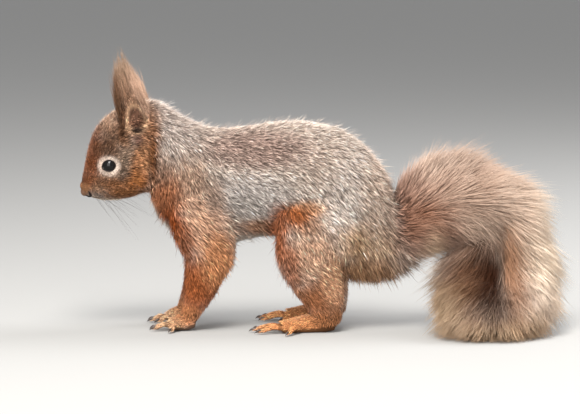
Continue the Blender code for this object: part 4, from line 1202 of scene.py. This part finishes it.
def coatOn(lofts, name, low, high, rng, look):
    # roots, directions and sizes of the tufts of one loft between two stations
    loft = lofts[name]
    body = loft["name"] == "body"
    u, theta = rootsOn(loft, low, high, rng)
    point, along, around, normal = surfaceFrame(loft, u, theta, insetAt(loft, u, theta))
    # none at the floor, on the soles, where the body rests, in the eye's opening or inside a neighbour
    keep = point[:, 2] > 0.5 * mm
    if loft["name"] in ("body", "hand", "foot", "digit"):
        facing, height = coatForm["resting" if body else "sole"]
        keep &= ~((normal[:, 2] < facing) & (point[:, 2] < height))
    eye, outward, _ = eyeShare(point)
    keep &= (eye > 1.0) | (outward < -3 * mm)
    if body:
        point = socket(point)
    hollow = np.ones(len(u))
    if loft["name"] == "ear":
        outer = np.sin(theta) * loft["dentSide"] > 0
        inside = outer & (earShare(point) < 1.0)
        keep &= ~inside | (rng.random(len(u)) < coatForm["hollowKept"])
        hollow = np.where(inside, coatForm["hollowLength"], 1.0)
    for other, neighbour in lofts.items():
        if other != name and neighbour["name"] != "ear":
            line = neighbour["packed"][:, :3]
            close = (point > line.min(0) - overlap["reach"]) & (point < line.max(0) + overlap["reach"])
            near = keep & close.all(1)
            if near.any():
                spots = np.flatnonzero(near)
                keep[spots[insideLoft(point[spots], neighbour)]] = False
    u, theta, point, along, around, normal, hollow, eye, outward = (
        v[keep] for v in (u, theta, point, along, around, normal, hollow, eye, outward))
    values = {key: readRow(table, loft, u) for key, table in loft["coat"].items()}
    sideways = np.sin(theta)
    slope = np.radians(values["slope"])[:, None] * np.abs(sideways[:, None]) ** 0.5
    down = around * np.sign(sideways)[:, None]
    flow = along * np.cos(slope) + down * np.sin(slope)
    sweep = readRow(loft["sweep"], loft, u)[:, None]
    flow = flow * (1 - 0.4 * sweep) + np.array([1.0, 0, 0]) * sweep
    flat = np.ones(len(u))
    if body:
        tail = np.clip(u - bodyForm["tailHair"]["from"], 0, 1)
        flow += around * (feather(theta) * tail * bodyForm["tailHair"]["spread"])[:, None]
        edge = np.abs(np.cos(theta)) ** 1.5
        flat = 1 - tail * bodyForm["tailHair"]["flat"] * (1 - edge)
        crown = np.clip(np.cos(theta), 0, 1) * np.clip((7.5 - u) / 1.5, 0, 1) * np.clip(u - 1.5, 0, 1)
        flat += bodyForm["crownLift"] * crown
        # round the eye it lies away from the opening
        out = eyeAxes(1)[0]
        spoke = mirrored(point) - eyeForm["place"]
        spoke = unit(spoke - (spoke @ out)[:, None] * out)
        spoke[:, 1] *= np.sign(point[:, 1])
        lid = np.exp(-((eye - 1) / coatForm["lidReach"]) ** 2) * (outward > -3 * mm)
        flow += (spoke - flow) * lid[:, None]
    fringe = np.zeros(len(u))
    if body:
        under = bodyForm["fringe"]
        fringe = np.exp(-((u - under["at"]) / under["reach"]) ** 2) * np.clip(-np.cos(theta) * 1.3, 0, 1)
        flow[:, 2] -= fringe * under["hang"]
    flow += softVector(point, look["clump"] * mm, 21) * look["turn"]
    flow += rng.normal(0, look["jitter"], flow.shape)
    flow = unit(flow - normal * (flow * normal).sum(1, keepdims=True))
    if body:
        # past the rounding off the hair points on along the tail, fanned out a little
        row = readRow(loft["packed"], loft, u)
        begin, end = bodyForm["tailHair"]["closeFrom"], bodyForm["tailHair"]["closeAt"]
        last = np.clip((u - begin) / (end - begin) * 1.6, 0, 1)[:, None]
        ahead = readRow(loft["along"], loft, u) + bodyForm["tailHair"]["fan"] * unit(point - row[:, :3])
        ahead[:, 2] -= bodyForm["tailHair"]["droop"]
        ahead += rng.normal(0, look["jitter"] * 1.4, ahead.shape)
        flow = unit(flow * (1 - last) + unit(ahead) * last)
        normal = unit(normal - flow * (normal * flow).sum(1, keepdims=True))
    count = len(u)
    length = values["length"] * mm * hollow * rng.uniform(*coatForm["lengths"], count)
    length *= 1 + look["uneven"] * softNoise(point, look["clump"] * mm, 31)
    length *= 1 + bodyForm["fringe"]["longer"] * fringe
    lift = rng.normal(0, coatForm["lifts"], count) + bodyForm["fringe"]["lift"] * fringe
    stray = rng.random(count) < coatForm["stray"]
    guardLift, guardLength, guardWidth = look["guard"]
    lift += stray * rng.uniform(0.4, 1.0, count) * guardLift
    length *= np.where(stray, guardLength, 1.0)
    if body:
        length *= 1 - coatForm["shorter"] * calmAt(eye, outward)
    angles = (values["rootAngle"] * flat + lift, values["tipAngle"] * flat + lift * 1.2)
    width = values["width"] * mm * rng.uniform(*coatForm["widths"], count) * np.where(stray, guardWidth, 1.0)
    grown = {
        "u": (u - low) / (high - low), "theta": theta / turn, "root": point, "normal": normal, "flow": flow,
        "length": length, "width": width, "angles": np.stack(angles, 1),
    }
    if point[:, 0].min() < -0.14:
        # none starts at the nostril or lies across it
        slit = throughStations(noseForm["slit"], np.linspace(0, 4, 12))
        free = np.ones(count, bool)
        for share in (0, 0.5, 1):
            spot = point + flow * (length * share)[:, None]
            free &= ((spot[:, None, [0, 2]] - slit[None]) ** 2).sum(2).min(1) > noseForm["clear"] ** 2
        grown = {key: value[free] for key, value in grown.items()}
    return grown


def hairColours(tufts, rng, look):
    # the marking where the tuft's middle and its tip lie, darker at the root, lighter at the tip, uneven from
    # tuft to tuft; some tufts end dark
    outer = tufts["root"] + tufts["flow"] * (tufts["length"] * 0.45)[:, None]
    base, final = marking(outer), marking(tufts["root"] + tufts["flow"] * (tufts["length"] * 0.85)[:, None])
    count = len(base)
    share, grain = coatForm["clouds"]
    bright = np.exp(rng.normal(0, look["spread"], count)) * (1 + share * softNoise(outer, grain, 41))
    bright *= np.maximum(1 + look["speckle"] * softNoise(outer, coatForm["speckleGrain"], 61), 0.25)
    eye, along, _ = eyeShare(outer)
    calm = calmAt(eye, along)
    bright = bright ** (1 - coatForm["calm"] * calm)
    bright *= np.where(inEarHollow(outer), np.exp(rng.normal(*coatForm["hollowTone"], count)), 1)
    pale = np.clip(final.mean(1, keepdims=True) / 0.35, 0, 1) ** 2
    base, final = base * bright[:, None], final * bright[:, None]
    even = (0.8, 1.0, 1.1)
    deep, mid, light = (shade + (same - shade) * calm[:, None] for shade, same in zip(look["shades"], even))
    root, middle, tip = base * deep, base * mid, final * light
    if "tips" in look:
        tone, share = look["tips"]
        tip += (np.array(tones[tone]) * bright[:, None] - tip) * share * pale
    dark = (rng.random(count) < look["ticking"] * (1 - calm))[:, None]
    darkMiddle, darkTip = coatForm["darkShades"]
    return root, np.where(dark, base * darkMiddle, middle), np.where(dark, base * darkTip, tip)


def gather(parts):
    # several lofts' tufts as one set; each loft has its own column of the map
    whole = {}
    for column, part in enumerate(parts):
        across = (column + 0.03 + 0.94 * part["theta"]) / len(parts)
        part["spots"] = np.stack([across, 0.01 + 0.98 * part["u"]], 1)
    for key in parts[0]:
        whole[key] = np.concatenate([part[key] for part in parts])
    return whole


def growCoat(name, lofts, ranges, finish, seed, lookName):
    rng = np.random.default_rng(seed)
    look = looks[lookName]
    tufts = gather([coatOn(lofts, loft, low, high, rng, look) for loft, low, high in ranges])
    colours = hairColours(tufts, rng, look)
    piece = growTufts(
        name, finish, tufts["root"], tufts["normal"], tufts["flow"], tufts["length"], tufts["width"],
        tufts["angles"], colours, tufts["spots"])
    return finishPiece(piece)


# ear tufts: long hair from the ear's back and rim that rises to a point
spireForm = {
    # the middle of its foot and its tip, then from foot to tip its half width and half depth in mm, and how
    # much narrower its rear half is
    "foot": (-0.1184, 0.0143, 0.1360), "tip": (-0.1276, 0.0155, 0.1775),
    "halfWidth": [9.8, 9.4, 8.4, 7.4, 6.6, 5.6], "halfDepth": [4.2, 4.4, 4.0, 3.4, 3.0, 2.6],
    "rearShare": 0.80,
    # tufts, their width in mm, the wisps they gather in, how tightly, and how uneven in height the wisps are
    "count": 5000, "width": 0.24, "wisps": 26, "gather": 0.75, "wispTall": (0.84, 1.06),
    # how much lower the outer tufts end, and how far down the ends are spread, with the power of each
    "outer": (0.26, 1.5), "mixed": (0.70, 0.55),
    "stray": 0.16, "rearStray": 0.18, "strayReach": 2.0 * mm,
    # the tufts' tones; the front ones are darker as painted shade along the ear's front edge
    "tone": (0.285, 0.168, 0.108), "footTone": (0.36, 0.17, 0.085), "frontShadeTone": (0.120, 0.060, 0.033),
    "rearTone": (0.42, 0.270, 0.190), "topTone": (0.190, 0.125, 0.084), "spread": 0.20,
    "shades": (0.60, 0.94, 1.05),
}


def growSpire(lofts, word, finish):
    # a tuft starts on the ear at its own share of the width and aims at the same share of the spire's width,
    # at a height that is less for the outer ones
    rng = np.random.default_rng(72 + sides[word])
    loft = lofts["ear" + word.capitalize()]
    count = spireForm["count"]
    u = rng.uniform(0.5, loft["last"], count)
    theta = rng.uniform(0, turn, count)
    root, _, _, normal = surfaceFrame(loft, u, theta, insetAt(loft, u, theta))
    behind = np.sin(theta) * loft["dentSide"] < 0.25
    clear = behind | ((earShare(root) > 1.05) & (root[:, 2] > bareEar["middle"][2] + 6.5 * mm))
    u, theta, root, normal = (v[clear] for v in (u, theta, root, normal))
    count = len(u)
    foot = np.array(spireForm["foot"]) * (1, sides[word], 1)
    tip = np.array(spireForm["tip"]) * (1, sides[word], 1)
    across = np.clip((root[:, 0] - foot[0] + (root[:, 2] - foot[2]) * 0.23) / (9.5 * mm), -1, 1)
    across = np.clip(across + rng.normal(0, 0.16, count), -1.1, 1.1)
    # towards the top the hair gathers in wisps of uneven height
    wispPlace = rng.uniform(-1, 1, (spireForm["wisps"], 2))
    wispTall = rng.uniform(*spireForm["wispTall"], spireForm["wisps"])
    depth = rng.uniform(-1, 1, count)
    wisp = np.hypot(across[:, None] - wispPlace[:, 0], (depth[:, None] - wispPlace[:, 1]) * 0.6).argmin(1)
    (outer, outerPower), (mixed, mixedPower) = spireForm["outer"], spireForm["mixed"]
    rise = 1 - outer * np.abs(across) ** outerPower
    rise = rise * (1 - mixed * rng.random(count) ** mixedPower) * wispTall[wisp]
    stops = np.linspace(0, 1, 6)
    halfWidth, halfDepth = (np.interp(rise, stops, spireForm[k]) * mm for k in ("halfWidth", "halfDepth"))
    halfWidth *= np.where(across > 0, spireForm["rearShare"], 1)
    aim = foot + (tip - foot) * rise[:, None]
    pull = spireForm["gather"] * np.clip((rise - 0.45) / 0.4, 0, 1)
    aim[:, 0] += (across + (wispPlace[wisp, 0] - across) * pull) * halfWidth * rng.uniform(0.88, 1.08, count)
    aim[:, 1] += (depth + (wispPlace[wisp, 1] - depth) * pull) * halfDepth
    inward = np.clip((0.142 - root[:, 2]) / 0.010, 0, 1) * np.clip((0.160 - aim[:, 2]) / 0.010, 0, 1)
    aim[:, 1] -= sides[word] * inward * 3.0 * mm
    stray = rng.random(count) < spireForm["stray"] + spireForm["rearStray"] * (across > 0.2)
    aim[:, :2] += stray[:, None] * rng.normal(0, spireForm["strayReach"], (count, 2))
    way = aim - root
    length = np.linalg.norm(way, axis=1)
    flow = unit(way + softVector(root, 3 * mm, 51) * 1.5 * mm)
    facing = unit(normal - flow * (normal * flow).sum(1, keepdims=True))
    reach = length > 4 * mm
    for step in np.linspace(0.08, 1, 12):
        spot = root + way * step
        reach &= ~((earShare(spot) < 1.02) & (spot[:, 1] * sides[word] > 0.0105))
    u, theta, root, flow, facing, length, across = (
        v[reach] for v in (u, theta, root, flow, facing, length, across))
    count = len(u)
    rootZ, tipZ = root[:, 2], root[:, 2] + flow[:, 2] * length
    base = np.array(spireForm["tone"])
    # the front tufts darken as painted shade along the ear's front edge
    for tone, share in (
            ("footTone", (0.150 - (rootZ + flow[:, 2] * length * 0.6)) / 0.012),
            ("frontShadeTone", (-across - 0.25) / 0.5),
            ("rearTone", (across - 0.15) / 0.5),
            ("topTone", (tipZ - 0.160) / 0.012)):
        base = base + (np.array(spireForm[tone]) - base) * np.clip(share, 0, 1)[:, None]
    base = base * np.exp(rng.normal(0, spireForm["spread"], count))[:, None]
    bend = rng.normal(0, 8, count)
    spots = np.stack([0.02 + 0.96 * theta / turn, 0.02 + 0.96 * u / loft["last"]], 1)
    width = spireForm["width"] * mm * rng.uniform(0.7, 1.15, count)
    piece = growTufts(
        "earTuft" + word.capitalize(), finish, root, facing, flow, length, width, np.stack([bend, -bend], 1),
        [base * shade for shade in spireForm["shades"]], spots, steps=3)
    return finishPiece(piece, [f"ear_tuft_{word}"])


# eyes and lids
def makeEye(word, finish):
    # rings about the outward axis from the front of the eye to its back; the front bulges a little
    side = sides[word]
    out, forward, up = eyeAxes(side)
    centre = np.array(eyeForm["place"]) * (1, side, 1)
    polar, around = poleToPole(40, 0.02), roundTurn(64)
    bulge = lidForm["bulge"] * np.exp(-(np.degrees(polar) / lidForm["bulgeReach"]) ** 2)
    spoke = np.cos(around) * forward + np.sin(around) * up
    rings = centre + eyeForm["radius"] * (1 + bulge) * (np.cos(polar) * out + np.sin(polar) * spoke)
    return finishPiece(tubeMesh("eyeball" + word.capitalize(), rings, finish), [f"eye_{word}"])


def makeLids(word, finish):
    # a thin rim on the eyeball along the opening's ellipse, drawn out to a corner in front and below; its
    # section is a small circle
    side = sides[word]
    out, forward, up = eyeAxes(side)
    centre = np.array(eyeForm["place"]) * (1, side, 1)
    way = np.arange(120) / 120 * turn
    apart = np.angle(np.exp(1j * (way - math.radians(lidForm["cornerWay"] - 180) * -1)))
    grow = 1 + lidForm["corner"] * np.exp(-(apart / lidForm["cornerWidth"]) ** 2)
    f, g = lidForm["long"] * np.cos(way) * grow, lidForm["high"] * np.sin(way) * grow
    height = np.sqrt(np.maximum(eyeForm["radius"] ** 2 - f * f - g * g, 0)) + lidForm["rise"]
    edge = centre + f[:, None] * forward + g[:, None] * up + height[:, None] * out
    spoke = unit(f[:, None] * forward + g[:, None] * up)
    around = roundTurn(12)
    rings = edge[:, None] + lidForm["thick"] * (np.cos(around) * spoke[:, None] + np.sin(around) * out)
    count, columns = rings.shape[:2]
    a = np.arange(count * columns).reshape(count, columns)
    b, d = np.roll(a, -1, 1), np.roll(a, -1, 0)
    quads = np.stack([a, b, np.roll(d, -1, 1), d], -1).reshape(-1, 4)
    triangles = np.concatenate([quads[:, [0, 1, 2]], quads[:, [0, 2, 3]]])
    if signedVolume(rings.reshape(-1, 3) - centre, triangles) < 0:
        quads = quads[:, ::-1]
    return finishPiece(makeMesh("lids" + word.capitalize(), rings.reshape(-1, 3), quads, finish))


# nose
noseForm = {
    # the pad: its middle, half axes in mm, lean in degrees and tone, and the crease below its middle: half
    # width, depth and how much darker it is painted there as shade
    "middle": (-0.1490, 0.0, 0.0860), "reach": (2.75, 2.5, 3.2), "lean": 25.0, "tone": (0.120, 0.053, 0.023),
    "crease": (0.35 * mm, 0.45 * mm, 0.7),
    # the nostril: its line in x and z, its half width in mm, how flat it is, how far out it sits, the least
    # way from the midline, how near the muzzle's points are that it sits on, and how far off the hair stays
    "slit": [(-0.1466, 0.0867), (-0.1456, 0.0850), (-0.1454, 0.0834), (-0.1467, 0.0828), (-0.1488, 0.0835)],
    "slitWidth": [0.15, 0.76, 0.82, 0.46, 0.12], "flat": 0.22, "proud": 0.02 * mm, "least": 2.0 * mm,
    "near": 0.6 * mm, "clear": 0.8 * mm,
}


def makeNose(finish):
    # an egg about a leaning axis, with a crease down its middle: x moves back as exp(-(y / reach)^2)
    polar, around = poleToPole(60, 0.03), roundTurn(96)
    lean = math.radians(noseForm["lean"])
    ahead, across = np.array([-math.cos(lean), 0, math.sin(lean)]), np.array([0, 1.0, 0])
    up = np.array([math.sin(lean), 0, math.cos(lean)])
    a, b, c = (r * mm for r in noseForm["reach"])
    rings = np.array(noseForm["middle"]) + a * np.cos(polar) * ahead + np.sin(polar) * (
        b * np.cos(around) * across + c * np.sin(around) * up)
    points = rings.reshape(-1, 3)
    width, depth, creaseShade = noseForm["crease"]
    below = np.clip((noseForm["middle"][2] - points[:, 2]) / (1 * mm), 0, 1)
    crease = np.exp(-(points[:, 1] / width) ** 2) * below
    points[:, 0] += crease * depth
    # painted shade darkens the crease
    flesh = np.array(noseForm["tone"]) * (1 - creaseShade * crease)[:, None]
    colours = np.concatenate([flesh, flesh[:1], flesh[-1:]])
    pad = tubeMesh("nosePad", points.reshape(rings.shape), finish, colours)
    return finishPiece(pad, ["nose"])


def makeNostril(lofts, word, finish):
    # a dark comma along a path in x and z, sunk half its width in whichever lies further out, muzzle or nose
    side = sides[word]
    path = throughStations(noseForm["slit"], np.linspace(0, 4, 40))
    half = throughStations(noseForm["slitWidth"], np.linspace(0, 4, 40)) * mm
    out = np.zeros(40)
    for name, low, high in (("body", 0, 2), ("snout", 0, 4)):
        stations, angles = np.linspace(low, high, 60), np.linspace(0.02, math.pi - 0.02, 120)
        u, theta = (v.ravel() for v in np.meshgrid(stations, angles))
        furred = surfacePoint(lofts[name], u, theta, 0.0)
        gap = ((furred[None, :, [0, 2]] - path[:, None]) ** 2).sum(2)
        near = gap.min(1) < noseForm["near"] ** 2
        out = np.maximum(out, np.where(near, np.abs(furred[gap.argmin(1), 1]), 0))
    out = np.maximum(out, noseForm["least"])
    centre = np.stack([path[:, 0], side * (out + noseForm["proud"]), path[:, 1]], 1)
    along = unit(np.gradient(centre, axis=0))
    first = unit(np.cross(along, (0, 1.0, 0)))
    second = np.cross(along, first)
    around = roundTurn(12)
    rings = centre[:, None] + half[:, None, None] * (
        np.cos(around) * first[:, None] + noseForm["flat"] * np.sin(around) * second[:, None])
    return finishPiece(tubeMesh("nostril" + word.capitalize(), rings, finish))


# claws and whiskers
clawForm = {
    # from root to tip, in mm: way ahead, height over the root, half height; then half width to half height
    "reach": [-2.2, 0.4, 1.6, 2.6, 3.3], "height": [0.5, 0.8, 0.6, 0.0, -0.9],
    "half": [0.80, 0.90, 0.70, 0.42, 0.07], "narrow": 0.62, "lowest": 0.1 * mm,
    "rootTone": (0.060, 0.038, 0.030), "tipTone": (0.020, 0.013, 0.010),
}


def makeClaw(node, root, ahead, finish):
    # a hooked cone: its middle line goes ahead and down, its section is a narrow ellipse that shrinks
    rows, columns = 18, 14
    u = np.linspace(0, 4, rows)
    reach, height, half = (
        throughStations(clawForm[k], u)[:, None, None] * mm for k in ("reach", "height", "half"))
    up, across = np.array([0, 0, 1.0]), np.array([-ahead[1], ahead[0], 0])
    around = roundTurn(columns)
    half = np.maximum(half, 0.05 * mm)
    spoke = np.cos(around) * up + clawForm["narrow"] * np.sin(around) * across
    rings = root + ahead * reach + up * height + half * spoke
    rings[..., 2] = np.maximum(rings[..., 2], clawForm["lowest"])
    shade = np.repeat(np.linspace(0, 1, rows), columns)[:, None]
    horn = np.array(clawForm["rootTone"]) * (1 - shade) + np.array(clawForm["tipTone"]) * shade
    colours = np.concatenate([horn, horn[:1], horn[-1:]])
    return finishPiece(tubeMesh("horn_" + node, rings, finish, colours), [node])


whiskerForm = {
    # rows on the lip: first root and last root, number, shortest and longest in mm; then the way they set
    # out and droop, how uneven way, droop and length are, how much of the droop is taken, the half thickness
    # in mm and how much of it is lost to the tip, the rings of each and the lowest they hang
    "rows": [
        ((-0.1445, 0.0072, 0.0892), (-0.1385, 0.0108, 0.0900), 3, 22, 34),
        ((-0.1445, 0.0070, 0.0868), (-0.1380, 0.0112, 0.0872), 4, 24, 36),
        ((-0.1430, 0.0062, 0.0845), (-0.1385, 0.0105, 0.0846), 3, 20, 32),
        ((-0.1420, 0.0060, 0.0822), (-0.1340, 0.0080, 0.0820), 3, 16, 26),
        ((-0.1180, 0.0185, 0.0930), (-0.1165, 0.0185, 0.0925), 2, 12, 18),
    ],
    "way": (0.62, 0.62, -0.42), "droop": (0.35, 0.0, -0.42), "wayUneven": 0.16, "droopUneven": 0.06,
    "lengths": (0.85, 1.1), "sag": 0.55, "thick": 0.085, "taper": 0.85, "steps": 9, "lowest": 1 * mm,
}


def makeWhiskers(word, finish):
    # a whisker is a thin three-sided tube along root + way t + droop t^2, tapering to its end
    rng = np.random.default_rng(90 + sides[word])
    roots, lengths = [], []
    for first, final, number, short, long in whiskerForm["rows"]:
        share = np.linspace(0, 1, number)[:, None]
        roots.append(np.array(first) * (1 - share) + np.array(final) * share)
        lengths.append(np.linspace(short, long, number) * rng.uniform(*whiskerForm["lengths"], number) * mm)
    roots, lengths = np.concatenate(roots) * (1, sides[word], 1), np.concatenate(lengths)
    count, steps = len(roots), whiskerForm["steps"]
    uneven = rng.normal(0, whiskerForm["wayUneven"], (count, 3))
    way = unit(np.array(whiskerForm["way"]) * (1, sides[word], 1) + uneven)
    droop = np.array(whiskerForm["droop"]) + rng.normal(0, whiskerForm["droopUneven"], (count, 3))
    t = np.linspace(0, 1, steps)[None, :, None]
    bend = way[:, None] * t + droop[:, None] * t ** 2 * whiskerForm["sag"]
    line = roots[:, None] + lengths[:, None, None] * bend
    line[..., 2] = np.maximum(line[..., 2], whiskerForm["lowest"])
    along = unit(np.gradient(line, axis=1))
    first = unit(np.cross(along, (0.3, 0.2, 1.0)))
    second = np.cross(along, first)
    thick = whiskerForm["thick"] * mm * (1 - whiskerForm["taper"] * t)
    corners = [first * math.cos(a) + second * math.sin(a) for a in (0, turn / 3, 2 * turn / 3)]
    points = np.stack([line + thick * corner for corner in corners], axis=2).reshape(-1, 3)
    per = 3 * steps
    ends = [(0, 1, 2), (per - 1, per - 2, per - 3)]
    faces = repeatFaces(ends + tubeSides(steps), points, per, count)
    return finishPiece(makeMesh("whiskers" + word.capitalize(), points, faces, finish))


# all of it
def build():
    setCamera()
    setLights()
    made = makeFinishes()
    makeFloor()
    print("studio ready")
    lofts, clawRoots = allLofts()
    skin = makeSkin(lofts, made["hide"])
    flesh = [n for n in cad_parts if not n.startswith(("eye_", "nose", "ear_tuft_")) and "claw" not in n]
    finishPiece(skin, flesh)
    print("skin made")
    for word in sides:
        makeEye(word, made["eyeBlack"])
        makeLids(word, made["lidSkin"])
        makeWhiskers(word, made["whiskerHair"])
        growSpire(lofts, word, made["coatHair"])
    makeNose(made["bareSkin"])
    for node, root, ahead in clawRoots:
        makeClaw(node, root, ahead, made["horn"])
    print("eyes, nose, claws, whiskers and ear tufts made")
    hair = made["coatHair"]
    tailEnd = bodyForm["tailHair"]["closeAt"] - 0.03
    ranges = [  # piece, its lofts with their first and last station, slot and look
        ("Face", [("body", 0.3, 5.2), ("snout", 0, 4)], "russet", "face"),
        ("Crown", [("body", 5.2, 8)], "russet", "face"),
        ("Neck", [("body", 8, 10.4)], "grizzled", "trunk"),
        ("Flank", [("body", 10.4, 13)], "grizzled", "trunk"),
        ("Loin", [("body", 13, 15)], "grizzled", "trunk"),
        ("Rump", [("body", 15, 17.5)], "grizzled", "trunk"),
        ("TailRoot", [("body", 17.5, 20)], "tail_coat", "tail"),
        ("TailCrown", [("body", 20, 23)], "tail_coat", "tail"),
        ("TailFall", [("body", 23, tailEnd)], "tail_coat", "tail"),
    ]
    for seed, (part, lofted, slot, look) in enumerate(ranges, 1):
        growCoat("coat" + part, lofts, lofted, hair, seed, look)
    for seed, word in enumerate(sides, 20):
        cap = word.capitalize()
        makeNostril(lofts, word, made["lidSkin"])
        foreParts = [("foreleg" + cap, 0, 6), ("hand" + cap, 0, 3)]
        foreParts += [(f"hand{cap}Digit{k}", 0, 4) for k in range(1, 5)]
        hindParts = [("hindleg" + cap, 0, 6), ("foot" + cap, 0, 4)]
        hindParts += [(f"foot{cap}Digit{k}", 0, 4) for k in range(1, 6)]
        growCoat("coatForeleg" + cap, lofts, foreParts, hair, seed, "leg")
        growCoat("coatHindleg" + cap, lofts, hindParts, hair, seed + 5, "leg")
        growCoat("coatEar" + cap, lofts, [("ear" + cap, 0, 4)], hair, seed + 10, "face")
    print("coat grown")


fromOwnFrame = Matrix.Translation(Vector(onFrame))
build()
